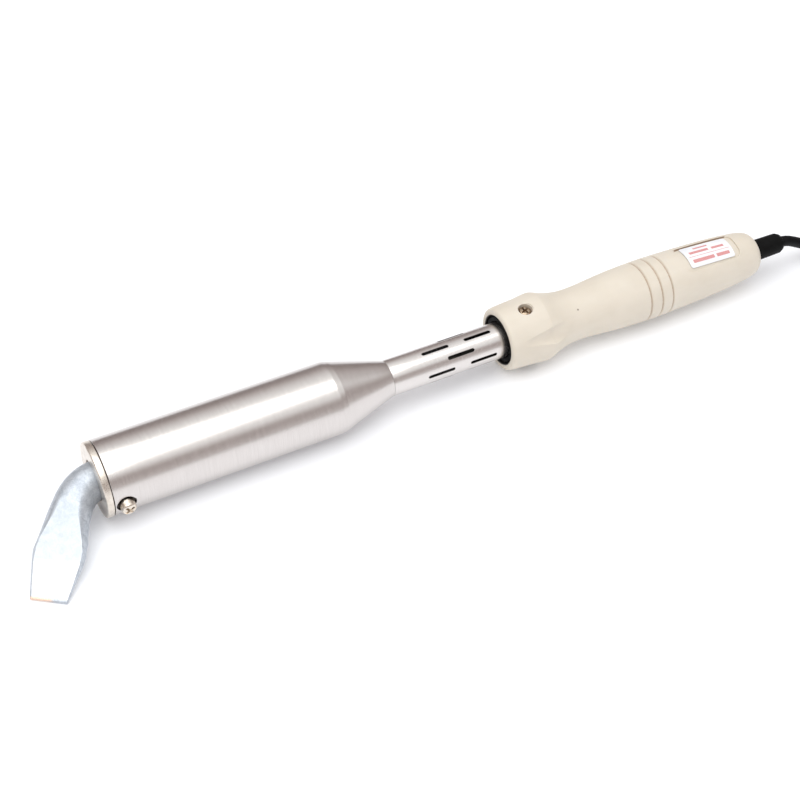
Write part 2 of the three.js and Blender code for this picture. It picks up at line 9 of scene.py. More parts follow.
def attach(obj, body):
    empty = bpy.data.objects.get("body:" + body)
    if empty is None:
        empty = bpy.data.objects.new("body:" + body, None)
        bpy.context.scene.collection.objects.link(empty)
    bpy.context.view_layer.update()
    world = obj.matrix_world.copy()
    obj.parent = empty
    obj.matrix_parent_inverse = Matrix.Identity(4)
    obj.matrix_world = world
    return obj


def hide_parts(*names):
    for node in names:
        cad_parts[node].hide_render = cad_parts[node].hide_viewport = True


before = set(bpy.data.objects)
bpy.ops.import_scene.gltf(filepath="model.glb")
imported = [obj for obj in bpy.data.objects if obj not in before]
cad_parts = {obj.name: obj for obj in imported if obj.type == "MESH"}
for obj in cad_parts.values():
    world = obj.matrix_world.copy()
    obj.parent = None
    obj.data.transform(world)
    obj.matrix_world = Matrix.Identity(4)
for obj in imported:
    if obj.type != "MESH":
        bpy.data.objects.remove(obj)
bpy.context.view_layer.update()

# ------------------------------------------------------------------ coordinates
# Pieces are written in millimetres in the iron's own frame: the X axis is the barrel's axis, x = 0 is the front face of
# the cap, angle 0 faces -Y and 90 faces up. Everything is built at its place in the row frame, in metres.
SHIFT = (-169.357, 13.106, 18.18)
FLOOR = -18.18
RAD = math.pi / 180


def W(x, y, z):
    return Vector(((x + SHIFT[0]) / 1000, (y + SHIFT[1]) / 1000, (z + SHIFT[2]) / 1000))


def radial(a):
    return Vector((0, -math.cos(a * RAD), math.sin(a * RAD)))


# ------------------------------------------------------------------ camera
cam_data = bpy.data.cameras.new("camera")
cam_data.lens = 69.956
cam_data.sensor_width = 36
cam_data.clip_start = 0.01
cam_data.dof.use_dof = False
camera = bpy.data.objects.new("camera", cam_data)
bpy.context.scene.collection.objects.link(camera)
camera.location = (-0.268917, -0.481354, 0.52638)
aim = Vector((-0.013757, 0.013106, 0.00088)) - camera.location
camera.rotation_euler = aim.to_track_quat("-Z", "Y").to_euler()
bpy.context.scene.camera = camera


# ------------------------------------------------------------------ mesh helpers
def link(obj):
    bpy.context.scene.collection.objects.link(obj)
    return obj


def mesh_object(name, verts, faces, smooth=30, local=True):
    """verts in millimetres in the iron's frame."""
    me = bpy.data.meshes.new(name)
    me.from_pydata([tuple(W(*v)) if local else tuple(v) for v in verts], [], [tuple(f) for f in faces])
    me.update()
    bm = bmesh.new()
    bm.from_mesh(me)
    bmesh.ops.recalc_face_normals(bm, faces=bm.faces)
    if bm.calc_volume(signed=True) < 0:
        bmesh.ops.reverse_faces(bm, faces=bm.faces)
    bm.to_mesh(me)
    bm.free()
    shade(me, smooth)
    return link(bpy.data.objects.new(name, me))


def shade(me, angle=30):
    me.polygons.foreach_set("use_smooth", [True] * len(me.polygons))
    me.set_sharp_from_angle(angle=angle * RAD)
    me.update()


def fillet(points, n=6):
    """A polyline of (a, b) or (a, b, radius) corners with the given corners rounded; closed."""
    out, m = [], len(points)
    for i, p in enumerate(points):
        r = p[2] if len(p) > 2 else 0
        a, b, c = (Vector(points[i - 1][:2]), Vector(p[:2]), Vector(points[(i + 1) % m][:2]))
        if r <= 0:
            out.append(tuple(b))
            continue
        u, v = (a - b), (c - b)
        lu, lv = u.length, v.length
        u, v = u / lu, v / lv
        half = math.acos(max(-1, min(1, u.dot(v)))) / 2
        if abs(half - math.pi / 2) < 1e-3:
            out.append(tuple(b))
            continue
        t = min(r / math.tan(half), 0.48 * lu, 0.48 * lv)
        r = t * math.tan(half)
        mid = (u + v).normalized()
        cen = b + mid * (r / math.sin(half))
        s, e = b + u * t - cen, b + v * t - cen
        ang = s.angle_signed(e)
        for k in range(n + 1):
            q = -ang * k / n
            out.append((cen.x + s.x * math.cos(q) - s.y * math.sin(q), cen.y + s.x * math.sin(q) + s.y * math.cos(q)))
    return out


def lathe(name, profile, segs=96, smooth=30, shape=None, angles=None):
    """A closed profile of (x, r) turned about the iron's axis. shape(x, r, degrees) may change r."""
    th = angles if angles is not None else [360 * i / segs for i in range(segs)]
    n, m = len(profile), len(th)
    verts = []
    for a in th:
        c, s = -math.cos(a * RAD), math.sin(a * RAD)
        for x, r in profile:
            q = r if shape is None else shape(x, r, a)
            verts.append((x, q * c, q * s))
    faces = []
    for i in range(m):
        j = (i + 1) % m
        for k in range(n):
            l = (k + 1) % n
            faces.append((i * n + k, i * n + l, j * n + l, j * n + k))
    return mesh_object(name, verts, faces, smooth)


def spin(name, profile, segs=48, smooth=30, at=None, direction=(1, 0, 0)):
    """A profile of (h, r) that starts and ends on the axis, turned about a direction through a point."""
    n = len(profile)
    verts, faces = [], []
    q = Vector((1, 0, 0)).rotation_difference(Vector(direction))
    o = Vector(at or (0, 0, 0))
    verts.append(tuple(o + q @ Vector((profile[0][0], 0, 0))))
    for h, r in profile[1:-1]:
        for i in range(segs):
            a = 2 * math.pi * i / segs
            verts.append(tuple(o + q @ Vector((h, r * math.cos(a), r * math.sin(a)))))
    verts.append(tuple(o + q @ Vector((profile[-1][0], 0, 0))))
    k = n - 2
    for i in range(segs):
        j = (i + 1) % segs
        faces.append((0, 1 + j, 1 + i))
        for row in range(k - 1):
            faces.append((1 + row * segs + i, 1 + row * segs + j, 1 + (row + 1) * segs + j, 1 + (row + 1) * segs + i))
        faces.append((len(verts) - 1, 1 + (k - 1) * segs + i, 1 + (k - 1) * segs + j))
    return mesh_object(name, verts, faces, smooth)


def prism(name, outline, low, high, place, smooth=30, flare=0.0, top=0.0):
    """outline is a list of (u, v); place(u, v, h) gives the point. flare widens the top ring by moving it outwards."""
    n = len(outline)
    cu, cv = sum(p[0] for p in outline) / n, sum(p[1] for p in outline) / n
    rings = [(low, 0.0), (high, 0.0)]
    if flare:
        rings.append((high + top, flare))
    verts = []
    for h, f in rings:
        for i, (u, v) in enumerate(outline):
            if f:
                a, b = outline[i - 1], outline[(i + 1) % n]
                t = Vector((b[0] - a[0], b[1] - a[1])).normalized()
                o = Vector((t.y, -t.x))
                if o.dot(Vector((u - cu, v - cv))) < 0:
                    o = -o
                verts.append(tuple(place(u + o.x * f, v + o.y * f, h)))
            else:
                verts.append(tuple(place(u, v, h)))
    faces = [tuple(range(n))[::-1], tuple(range((len(rings) - 1) * n, len(rings) * n))]
    for k in range(len(rings) - 1):
        for i in range(n):
            j = (i + 1) % n
            faces.append((k * n + i, k * n + j, (k + 1) * n + j, (k + 1) * n + i))
    return mesh_object(name, verts, faces, smooth)


def cut(obj, *tools, smooth=30):
    """Takes the tools out of obj and removes them."""
    for t in tools:
        mod = obj.modifiers.new("cut", "BOOLEAN")
        mod.operation, mod.solver, mod.object = "DIFFERENCE", "EXACT", t
        apply_mods(obj)
    for t in tools:
        me = t.data
        bpy.data.objects.remove(t)
        bpy.data.meshes.remove(me)
    bm = bmesh.new()
    bm.from_mesh(obj.data)
    bmesh.ops.remove_doubles(bm, verts=bm.verts, dist=2e-6)
    bmesh.ops.dissolve_degenerate(bm, edges=bm.edges, dist=1e-7)
    bm.to_mesh(obj.data)
    bm.free()
    shade(obj.data, smooth)
    return obj


def apply_mods(obj):
    dg = bpy.context.evaluated_depsgraph_get()
    dg.update()
    me = bpy.data.meshes.new_from_object(obj.evaluated_get(dg))
    old = obj.data
    obj.modifiers.clear()
    obj.data = me
    me.name = obj.name
    if old.users == 0:
        bpy.data.meshes.remove(old)


def join(name, objs):
    bm = bmesh.new()
    for o in objs:
        bm.from_mesh(o.data)
    me = bpy.data.meshes.new(name)
    bm.to_mesh(me)
    bm.free()
    for o in objs:
        d = o.data
        bpy.data.objects.remove(o)
        bpy.data.meshes.remove(d)
    return link(bpy.data.objects.new(name, me))


def ease(t):
    t = min(max(t, 0.0), 1.0)
    return t * t * (3 - 2 * t)


def catmull(points, per):
    """Centripetal Catmull-Rom through the points, the same number of steps between every two."""
    P = [np.array(p, float) for p in points]
    P = [2 * P[0] - P[1]] + P + [2 * P[-1] - P[-2]]
    out = []
    for i in range(1, len(P) - 2):
        a, b, c, d = P[i - 1], P[i], P[i + 1], P[i + 2]
        t0 = 0.0
        t1 = t0 + max(np.linalg.norm(b - a), 1e-9) ** 0.5
        t2 = t1 + max(np.linalg.norm(c - b), 1e-9) ** 0.5
        t3 = t2 + max(np.linalg.norm(d - c), 1e-9) ** 0.5
        for k in range(per):
            t = t1 + (t2 - t1) * k / per
            A1 = (t1 - t) / (t1 - t0) * a + (t - t0) / (t1 - t0) * b
            A2 = (t2 - t) / (t2 - t1) * b + (t - t1) / (t2 - t1) * c
            A3 = (t3 - t) / (t3 - t2) * c + (t - t2) / (t3 - t2) * d
            B1 = (t2 - t) / (t2 - t0) * A1 + (t - t0) / (t2 - t0) * A2
            B2 = (t3 - t) / (t3 - t1) * A2 + (t - t1) / (t3 - t1) * A3
            out.append((t2 - t) / (t2 - t1) * B1 + (t - t1) / (t2 - t1) * B2)
    out.append(P[-2])
    return out


def resample(points, step):
    P = np.array(points, float)
    d = np.r_[0, np.cumsum(np.linalg.norm(np.diff(P, axis=0), axis=1))]
    n = max(2, int(round(d[-1] / step)) + 1)
    t = np.linspace(0, d[-1], n)
    return np.stack([np.interp(t, d, P[:, k]) for k in range(3)], 1)


# ------------------------------------------------------------------ the lead
CORD_R = 2.85
LAY = FLOOR + CORD_R + 0.05
X1, X2, YC = 452.0, 514.0, -15.0
R_OUT, R_IN = 23.4, 17.6
LAYERS = [FLOOR + 4.35, FLOOR + 10.25, FLOOR + 16.15]
SLOTS = [(R_OUT, 0), (R_IN, 0), (R_IN, 1), (R_OUT, 1), (R_OUT, 2), (R_IN, 2)]
WINDOWS = {4: (0.24, 0.392), 3: (0.392, 0.544), 2: (0.544, 0.696), 1: (0.696, 0.848), 0: (0.848, 1.0)}


def settle(x, z):
    """Away from the strap the hank's turns come down onto the surface that it lies on."""
    off = ease((abs(x - 483.0) - 7) / 26)
    return z - 1.4 * off


def stadium(r, phase):
    run, arc = X2 - X1, math.pi * r
    s = phase * (2 * run + 2 * arc)
    if s < run:
        return X1 + s, YC + r
    s -= run
    if s < arc:
        a = math.pi / 2 - s / r
        return X2 + r * math.cos(a), YC + r * math.sin(a)
    s -= arc
    if s < run:
        return X2 - s, YC - r
    s -= run
    a = -math.pi / 2 - s / r
    return X1 + r * math.cos(a), YC + r * math.sin(a)


def lead_path():
    first = [(383.45, 0, 0), (386.5, 0, -0.25), (390, 0, -1.5), (394, 0, -3.6), (398.4, 0, -6.0), (404, 0.1, -9.1),
             (409, 0.2, -11.8), (414, 0.3, -13.8), (419, 0.6, -15.0), (425.2, 1.0, LAY), (431, 1.9, LAY + 0.02),
             (437, 3.7, LAY + 0.1), (443, 5.9, LAY + 0.3), (449, 7.7, LAY + 0.45), (455, 8.35, settle(455, LAYERS[0])),
             (461, 8.4, settle(461, LAYERS[0]))]
    pts = [tuple(p) for p in catmull(first, 4)]
    n = 144
    for k in range(5):
        (ra, la), (rb, lb) = SLOTS[k], SLOTS[k + 1]
        w0, w1 = WINDOWS[k]
        for i in range(n):
            ph = i / n
            if k == 0:
                # the first run is joined from x = 461 on
                run = X2 - X1
                total = 2 * run + 2 * math.pi * ra
                if ph * total < 461 - X1 + 1.5:
                    continue
            f = 0.5 - 0.5 * math.cos(math.pi * min(max((ph - w0) / (w1 - w0), 0), 1))
            r = ra + (rb - ra) * f
            z = LAYERS[la] + (LAYERS[lb] - LAYERS[la]) * f
            x, y = stadium(r, ph)
            pts.append((x, y, settle(x, z)))
    top = LAYERS[2]
    yt = YC + R_IN
    for x in np.arange(X1, X2 - 3, 2.0):
        pts.append((float(x), yt, settle(float(x), top)))
    z0 = settle(X2, top)
    last = [(X2 - 2, yt, z0), (X2 + 6, yt, z0 - 0.15), (X2 + 14, yt - 0.02, FLOOR + 13.9), (X2 + 22, yt - 0.05, FLOOR + 13.1), (X2 + 28, 2.5, FLOOR + 12.0),
            (548, 2.5, FLOOR + 9.5), (554, 2.5, FLOOR + 6.6), (560, 2.5, FLOOR + 4.3), (566, 2.5, LAY + 0.2), (573, 2.5, LAY), (579.8, 2.5, LAY)]
    pts += [tuple(p) for p in catmull(last, 4)]
    return pts


lead_pts = resample(lead_path(), 2.2)
for _ in range(2):
    inner = lead_pts[1:-1] * 0.5 + (lead_pts[:-2] + lead_pts[2:]) * 0.25
    lead_pts[1:-1] = inner


def tube(name, pts, r, sides=20):
    """A closed round tube whose rings stand square on the points."""
    P = np.array(pts, float)
    T = np.gradient(P, axis=0)
    T /= np.linalg.norm(T, axis=1)[:, None]
    up = np.array([0.0, 0.0, 1.0])
    N = up - T[0] * up.dot(T[0])
    N /= np.linalg.norm(N)
    verts, faces, n = [], [], len(P)
    rings = [(P[0], r * 0.88)] + [(P[0] + T[0] * r * 0.12, r)] + [(p, r) for p in P[1:-1]] + [(P[-1] - T[-1] * r * 0.12, r), (P[-1], r * 0.88)]
    tang = [T[0], T[0], *T[1:-1], T[-1], T[-1]]
    for (p, q), t in zip(rings, tang):
        N = N - t * N.dot(t)
        N /= np.linalg.norm(N)
        B = np.cross(t, N)
        for i in range(sides):
            a = 2 * math.pi * i / sides
            verts.append(tuple(p + q * (math.cos(a) * N + math.sin(a) * B)))
    m = len(rings)
    for k in range(m - 1):
        for i in range(sides):
            j = (i + 1) % sides
            faces.append((k * sides + i, k * sides + j, (k + 1) * sides + j, (k + 1) * sides + i))
    faces.append(tuple(range(sides))[::-1])
    faces.append(tuple(range((m - 1) * sides, m * sides)))
    return mesh_object(name, verts, faces, smooth=40), [tuple(W(*p)) for p, _ in rings]


lead, lead_path_m = tube("lead", lead_pts, CORD_R, 20)
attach(lead, "root")
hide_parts("cord", "cord_hank", "cord_tail")


# ------------------------------------------------------------------ material helpers
class Nodes:
    def __init__(self, name):
        self.m = bpy.data.materials.new(name)
        self.m.use_nodes = True
        self.t = self.m.node_tree
        self.t.nodes.clear()
        self.out = self.t.nodes.new("ShaderNodeOutputMaterial")
        self.b = self.t.nodes.new("ShaderNodeBsdfPrincipled")
        self.t.links.new(self.b.outputs[0], self.out.inputs[0])
        co = self.t.nodes.new("ShaderNodeTexCoord")
        mp = self.t.nodes.new("ShaderNodeMapping")
        mp.inputs["Scale"].default_value = (1000, 1000, 1000)
        mp.inputs["Location"].default_value = tuple(-s for s in SHIFT)
        self.t.links.new(co.outputs["Object"], mp.inputs["Vector"])
        self.mm = mp.outputs["Vector"]      # millimetres in the iron's frame

    def set(self, **k):
        for n, v in k.items():
            s = self.b.inputs[n.replace("_", " ")]
            if hasattr(v, "links"):
                self.t.links.new(v, s)
            else:
                s.default_value = (*v, 1) if isinstance(v, tuple) and len(v) == 3 and len(s.default_value) == 4 else v
        return self

    def stretch(self, vec, scale, loc=(0, 0, 0), rot=(0, 0, 0)):
        n = self.t.nodes.new("ShaderNodeMapping")
        n.inputs["Scale"].default_value = scale
        n.inputs["Location"].default_value = loc
        n.inputs["Rotation"].default_value = rot
        self.t.links.new(vec, n.inputs["Vector"])
        return n.outputs[0]

    def noise(self, vec, scale=1.0, detail=3, rough=0.55, distortion=0.0):
        n = self.t.nodes.new("ShaderNodeTexNoise")
        n.inputs["Scale"].default_value = scale
        n.inputs["Detail"].default_value = detail
        n.inputs["Roughness"].default_value = rough
        n.inputs["Distortion"].default_value = distortion
        self.t.links.new(vec, n.inputs["Vector"])
        return n.outputs["Fac"]

    def voronoi(self, vec, scale=1.0, feature="F1", randomness=1.0):
        n = self.t.nodes.new("ShaderNodeTexVoronoi")
        n.feature = feature
        n.inputs["Scale"].default_value = scale
        n.inputs["Randomness"].default_value = randomness
        self.t.links.new(vec, n.inputs["Vector"])
        return n.outputs["Distance"]

    def wave(self, vec, scale=1.0, distortion=0.0, direction="X", detail=2):
        n = self.t.nodes.new("ShaderNodeTexWave")
        n.bands_direction = direction
        n.inputs["Scale"].default_value = scale
        n.inputs["Distortion"].default_value = distortion
        n.inputs["Detail"].default_value = detail
        self.t.links.new(vec, n.inputs["Vector"])
        return n.outputs["Fac"]

    def attr(self, name):
        n = self.t.nodes.new("ShaderNodeAttribute")
        n.attribute_name = name
        return n.outputs["Fac"]

    def ramp(self, fac, stops, mode="LINEAR"):
        n = self.t.nodes.new("ShaderNodeValToRGB")
        n.color_ramp.interpolation = mode
        e = n.color_ramp.elements
        while len(e) < len(stops):
            e.new(0.5)
        for el, (p, c) in zip(e, stops):
            el.position = p
            el.color = (*c, 1) if hasattr(c, "__len__") else (c, c, c, 1)
        self.t.links.new(fac, n.inputs[0])
        return n.outputs[0]

    def span(self, fac, lo, hi, a=0.0, b=1.0):
        n = self.t.nodes.new("ShaderNodeMapRange")
        n.inputs["From Min"].default_value = lo
        n.inputs["From Max"].default_value = hi
        n.inputs["To Min"].default_value = a
        n.inputs["To Max"].default_value = b
        self.t.links.new(fac, n.inputs["Value"])
        return n.outputs[0]

    def mix(self, fac, a, b, mode="MIX"):
        n = self.t.nodes.new("ShaderNodeMix")
        n.data_type = "RGBA"
        n.blend_type = mode
        for v, s in ((fac, n.inputs[0]), (a, n.inputs[6]), (b, n.inputs[7])):
            if hasattr(v, "links"):
                self.t.links.new(v, s)
            elif hasattr(v, "__len__"):
                s.default_value = (*v, 1)
            else:
                s.default_value = v
        return n.outputs[2]

    def math(self, op, a, b=0.0, clamp=False):
        n = self.t.nodes.new("ShaderNodeMath")
        n.operation = op
        n.use_clamp = clamp
        for v, s in ((a, n.inputs[0]), (b, n.inputs[1])):
            if hasattr(v, "links"):
                self.t.links.new(v, s)
            else:
                s.default_value = v
        return n.outputs[0]

    def split(self, vec):
        n = self.t.nodes.new("ShaderNodeSeparateXYZ")
        self.t.links.new(vec, n.inputs[0])
        return n.outputs

    def combine(self, x, y, z):
        n = self.t.nodes.new("ShaderNodeCombineXYZ")
        for v, s in zip((x, y, z), n.inputs):
            if hasattr(v, "links"):
                self.t.links.new(v, s)
            else:
                s.default_value = v
        return n.outputs[0]

    def round_axis(self, along, around):
        """Coordinates for marks that run round the iron's axis: fast along it, slow round it."""
        x, y, z = self.split(self.mm)
        r = self.math("MAXIMUM", self.math("SQRT", self.math("ADD", self.math("MULTIPLY", y, y), self.math("MULTIPLY", z, z))), 0.01)
        return self.combine(self.math("MULTIPLY", x, along), self.math("MULTIPLY", self.math("DIVIDE", y, r), around), self.math("MULTIPLY", self.math("DIVIDE", z, r), around))

    def radius(self):
        x, y, z = self.split(self.mm)
        return self.math("SQRT", self.math("ADD", self.math("MULTIPLY", y, y), self.math("MULTIPLY", z, z)))

    def band(self, value, centre, half, soft):
        """1 within half of centre, falling to 0 over soft."""
        return self.span(self.math("ABSOLUTE", self.math("SUBTRACT", value, centre)), half, half + soft, 1.0, 0.0)

    def angle(self):
        """Degrees round the iron's axis, 0 facing -Y and 90 facing up."""
        x, y, z = self.split(self.mm)
        return self.math("MULTIPLY", self.math("ARCTAN2", z, self.math("MULTIPLY", y, -1.0)), 180 / math.pi)

    def bump(self, height, strength=0.3, distance=0.00005, normal=None):
        n = self.t.nodes.new("ShaderNodeBump")
        n.inputs["Strength"].default_value = strength
        n.inputs["Distance"].default_value = distance
        self.t.links.new(height, n.inputs["Height"])
        if normal is not None:
            self.t.links.new(normal, n.inputs["Normal"])
        self.t.links.new(n.outputs[0], self.b.inputs["Normal"])
        return n.outputs[0]


def give(obj, material):
    data = obj.data
    data.materials.clear()
    data.materials.append(material)
    return obj


MAT = {}
SPECK = (250.69, -8.52, 10.39)      # a dark speck in the moulding


def make_materials():
    # stainless tube, brushed round the axis
    n = Nodes("stainless_brushed")
    fine = n.noise(n.round_axis(5.0, 1.6), 1.0, 5, 0.7)
    mid = n.noise(n.round_axis(1.3, 1.6), 1.0, 3, 0.5)
    cloud = n.noise(n.mm, 0.05, 3, 0.5)
    col = n.mix(n.span(fine, 0.3, 0.7), (0.59, 0.557, 0.538), (0.70, 0.667, 0.648))
    col = n.mix(n.span(mid, 0.35, 0.65, 0.0, 0.15), col, (0.71, 0.675, 0.65))
    col = n.mix(n.span(cloud, 0.4, 0.7, 0.0, 0.2), col, (0.65, 0.605, 0.58))
    n.set(Base_Color=col, Metallic=1.0, Roughness=n.span(n.math("ADD", n.math("MULTIPLY", fine, 0.6), n.math("MULTIPLY", mid, 0.4)), 0.3, 0.7, 0.22, 0.28))
    n.bump(n.math("ADD", fine, n.math("MULTIPLY", mid, 0.2)), 0.05, 0.00003)
    MAT["stainless"] = n.m

    # the vented neck: the same brushing outside, dark with heat inside
    n = Nodes("stainless_neck")
    fine = n.noise(n.round_axis(7.0, 1.1), 1.0, 4, 0.6)
    inner = n.span(n.radius(), 8.8, 9.0, 1.0, 0.0)
    col = n.mix(n.span(fine, 0.3, 0.7), (0.665, 0.632, 0.612), (0.735, 0.702, 0.682))
    soot = n.noise(n.mm, 0.7, 4, 0.6)
    n.set(Base_Color=n.mix(inner, col, n.mix(n.span(soot, 0.35, 0.65), (0.012, 0.010, 0.009), (0.03, 0.026, 0.023))), Metallic=n.math("SUBTRACT", 1.0, inner), Roughness=n.span(fine, 0.3, 0.7, 0.22, 0.28))
    n.bump(fine, 0.05, 0.00003)
    MAT["neck"] = n.m

    # nickel plate
    n = Nodes("nickel_plate")
    fine = n.noise(n.mm, 2.2, 4, 0.6)
    cloud = n.noise(n.mm, 0.35, 4, 0.6)
    col = n.mix(n.span(cloud, 0.35, 0.65), (0.68, 0.60, 0.51), (0.82, 0.755, 0.67))
    deep = n.span(n.noise(n.mm, 1.1, 3, 0.5), 0.6, 0.72, 0.0, 0.6)
    col = n.mix(deep, col, (0.40, 0.30, 0.21))
    n.set(Base_Color=col, Metallic=1.0, Roughness=n.span(fine, 0.3, 0.7, 0.2, 0.34))
    n.bump(fine, 0.1, 0.00004)
    MAT["nickel"] = n.m

    # collar screws, tarnished brown, and the whole screw made darker than the nickel as painted shade of their wells
    n = Nodes("screw_tarnish_and_painted_shade")
    f = n.noise(n.mm, 1.6, 4, 0.6)
    n.set(Base_Color=n.mix(n.span(f, 0.38, 0.62), (0.20, 0.13, 0.08), (0.62, 0.50, 0.37)), Metallic=1.0, Roughness=n.span(f, 0.3, 0.7, 0.24, 0.4))
    n.bump(f, 0.15, 0.00006)
    MAT["screw_dark"] = n.m

    # the cap: plated plate, with a painted shadow of the bit on the lower front face; the hub behind it is made
    # near-black
    n = Nodes("nickel_cap")
    fine = n.noise(n.mm, 2.2, 4, 0.6)
    cloud = n.noise(n.mm, 0.3, 4, 0.6)
    col = n.mix(n.span(cloud, 0.35, 0.65), (0.66, 0.595, 0.52), (0.78, 0.725, 0.655))
    spots = n.span(n.noise(n.mm, 0.9, 5, 0.7), 0.66, 0.74, 0.0, 0.7)
    col = n.mix(spots, col, (0.33, 0.25, 0.19))
    cx, cy, cz = n.split(n.mm)
    # painted shadow of the bit: the lower part of the front face turned dark brown
    painted_bit_shadow = n.math("MULTIPLY", n.math("MULTIPLY", n.span(cx, 0.1, 0.6, 1.0, 0.0), n.span(cz, -2.0, -10.0)), n.span(n.radius(), 14.0, 17.6, 1.0, 0.25))
    col = n.mix(n.math("MULTIPLY", painted_bit_shadow, n.span(cloud, 0.3, 0.6, 0.6, 0.9)), col, (0.16, 0.125, 0.105))
    # the hub behind the plate made near-black
    hub = n.span(cx, 3.38, 3.5)
    col = n.mix(hub, col, (0.05, 0.042, 0.036))
    n.set(Base_Color=col, Metallic=1.0, Roughness=n.span(fine, 0.3, 0.7, 0.22, 0.36))
    n.bump(n.math("ADD", fine, cloud), 0.1, 0.00005)
    MAT["cap"] = n.m

    # plated copper bit
    n = Nodes("bit_plated_copper")
    grain = n.noise(n.mm, 1.6, 5, 0.62)
    patch = n.noise(n.mm, 0.34, 6, 0.7, 0.5)
    stain = n.noise(n.stretch(n.mm, (0.5, 0.22, 0.4)), 1.0, 5, 0.65, 1.0)
    flank = n.mix(n.span(patch, 0.33, 0.67), (0.40, 0.445, 0.50), (0.60, 0.645, 0.695))
    flank = n.mix(n.span(grain, 0.42, 0.72, 0.0, 0.4), flank, (0.76, 0.79, 0.825))
    flank = n.mix(n.span(stain, 0.54, 0.72, 0.0, 0.5), flank, (0.30, 0.335, 0.385))
    flat = n.mix(n.span(patch, 0.36, 0.64), (0.74, 0.775, 0.805), (0.82, 0.845, 0.865))
    # painted shade: the rear facet of the flats coloured darker than the front bevel
    rear_facet_shade = n.mix(n.span(patch, 0.33, 0.67), (0.50, 0.555, 0.605), (0.60, 0.645, 0.69))
    rear_facet_shade = n.mix(n.span(grain, 0.5, 0.72, 0.0, 0.35), rear_facet_shade, (0.72, 0.755, 0.79))
    flat = n.mix(n.attr("rear_facet_shade"), flat, rear_facet_shade)
    flat = n.mix(n.span(stain, 0.6, 0.76, 0.0, 0.22), flat, (0.56, 0.60, 0.65))
    facet = n.attr("facet")
    col = n.mix(facet, flank, flat)
    worn = n.attr("worn")
    copper = n.mix(n.span(grain, 0.35, 0.65), (0.80, 0.56, 0.42), (0.92, 0.74, 0.62))
    col = n.mix(worn, col, copper)
    n.set(Base_Color=col, Metallic=0.72, Roughness=n.span(n.math("ADD", n.math("MULTIPLY", grain, 0.6), n.math("MULTIPLY", patch, 0.4)), 0.3, 0.7, 0.6, 0.42))
    n.bump(n.math("ADD", grain, n.math("MULTIPLY", patch, 2.0)), 0.2, 0.0001)
    MAT["bit"] = n.m

    # moulded cream handle
    n = Nodes("handle_cream_moulding")
    fine = n.noise(n.mm, 3.2, 3, 0.6)
    cloud = n.noise(n.mm, 0.06, 3, 0.5)
    flow = n.noise(n.stretch(n.mm, (0.03, 0.2, 0.2)), 1.0, 4, 0.55)
    col = n.mix(n.span(cloud, 0.35, 0.65), (0.665, 0.608, 0.514), (0.70, 0.645, 0.552))
    col = n.mix(n.span(flow, 0.45, 0.75, 0.0, 0.3), col, (0.75, 0.70, 0.61))
    x = n.split(n.mm)[0]
    r, ang = n.radius(), n.angle()
    dirt = n.noise(n.mm, 0.8, 4, 0.6)
    line = n.math("MAXIMUM", n.math("MAXIMUM", n.band(x, 291.6, 0.22, 0.34), n.band(x, 298.3, 0.22, 0.34)), n.band(x, 304.7, 0.22, 0.34))
    col = n.mix(n.math("MULTIPLY", line, n.span(dirt, 0.3, 0.7, 0.45, 0.8)), col, (0.36, 0.235, 0.15))
    sx_, sy_, sz_ = n.split(n.mm)
    d2_ = n.math("ADD", n.math("POWER", n.math("SUBTRACT", sx_, SPECK[0]), 2), n.math("ADD", n.math("POWER", n.math("SUBTRACT", sy_, SPECK[1]), 2), n.math("POWER", n.math("SUBTRACT", sz_, SPECK[2]), 2)))
    col = n.mix(n.span(d2_, 0.10, 0.35, 0.8, 0.0), col, (0.12, 0.08, 0.06))
    mouth = n.math("MULTIPLY", n.span(r, 12.95, 13.35, 1.0, 0.0), n.span(x, 212.0, 212.4, 1.0, 0.0))
    col = n.mix(mouth, col, (0.010, 0.0095, 0.009))
    # painted shade: a dark brown line along the far wall of the label pocket
    pocket_wall_shade = n.math("MULTIPLY", n.band(ang, 111.0, 1.2, 0.6), n.band(x, 332.75, 15.6, 1.2))
    col = n.mix(n.math("MULTIPLY", pocket_wall_shade, 0.85), col, (0.26, 0.165, 0.10))
    # painted shade: the bottom of the collar screws' wells darker brown
    screw_well_shade = n.math("MULTIPLY", n.span(r, 14.5, 14.9, 1.0, 0.0), n.band(x, 223.6, 3.7, 0.2))
    col = n.mix(n.math("MULTIPLY", screw_well_shade, 0.8), col, (0.33, 0.22, 0.145))
    n.set(Base_Color=col, Roughness=n.span(fine, 0.3, 0.7, 0.42, 0.56), Subsurface_Weight=0.08, Subsurface_Radius=(0.004, 0.003, 0.002), Subsurface_Scale=0.6)
    n.bump(n.math("ADD", fine, n.math("MULTIPLY", n.noise(n.mm, 0.5, 3, 0.5), 1.2)), 0.12, 0.00006)
    MAT["cream"] = n.m

    def plain(key, name, a, b, rough, metal=0.0, scale=1.0, bump=0.15, depth=0.00005, detail=4):
        n = Nodes(name)
        f = n.noise(n.mm, scale, detail, 0.6)
        c = n.noise(n.mm, scale * 0.12, 3, 0.5)
        col = n.mix(n.span(c, 0.35, 0.65), a, b)
        n.set(Base_Color=col, Metallic=metal, Roughness=n.span(f, 0.3, 0.7, rough[0], rough[1]))
        n.bump(f, bump, depth)
        MAT[key] = n.m
        return n

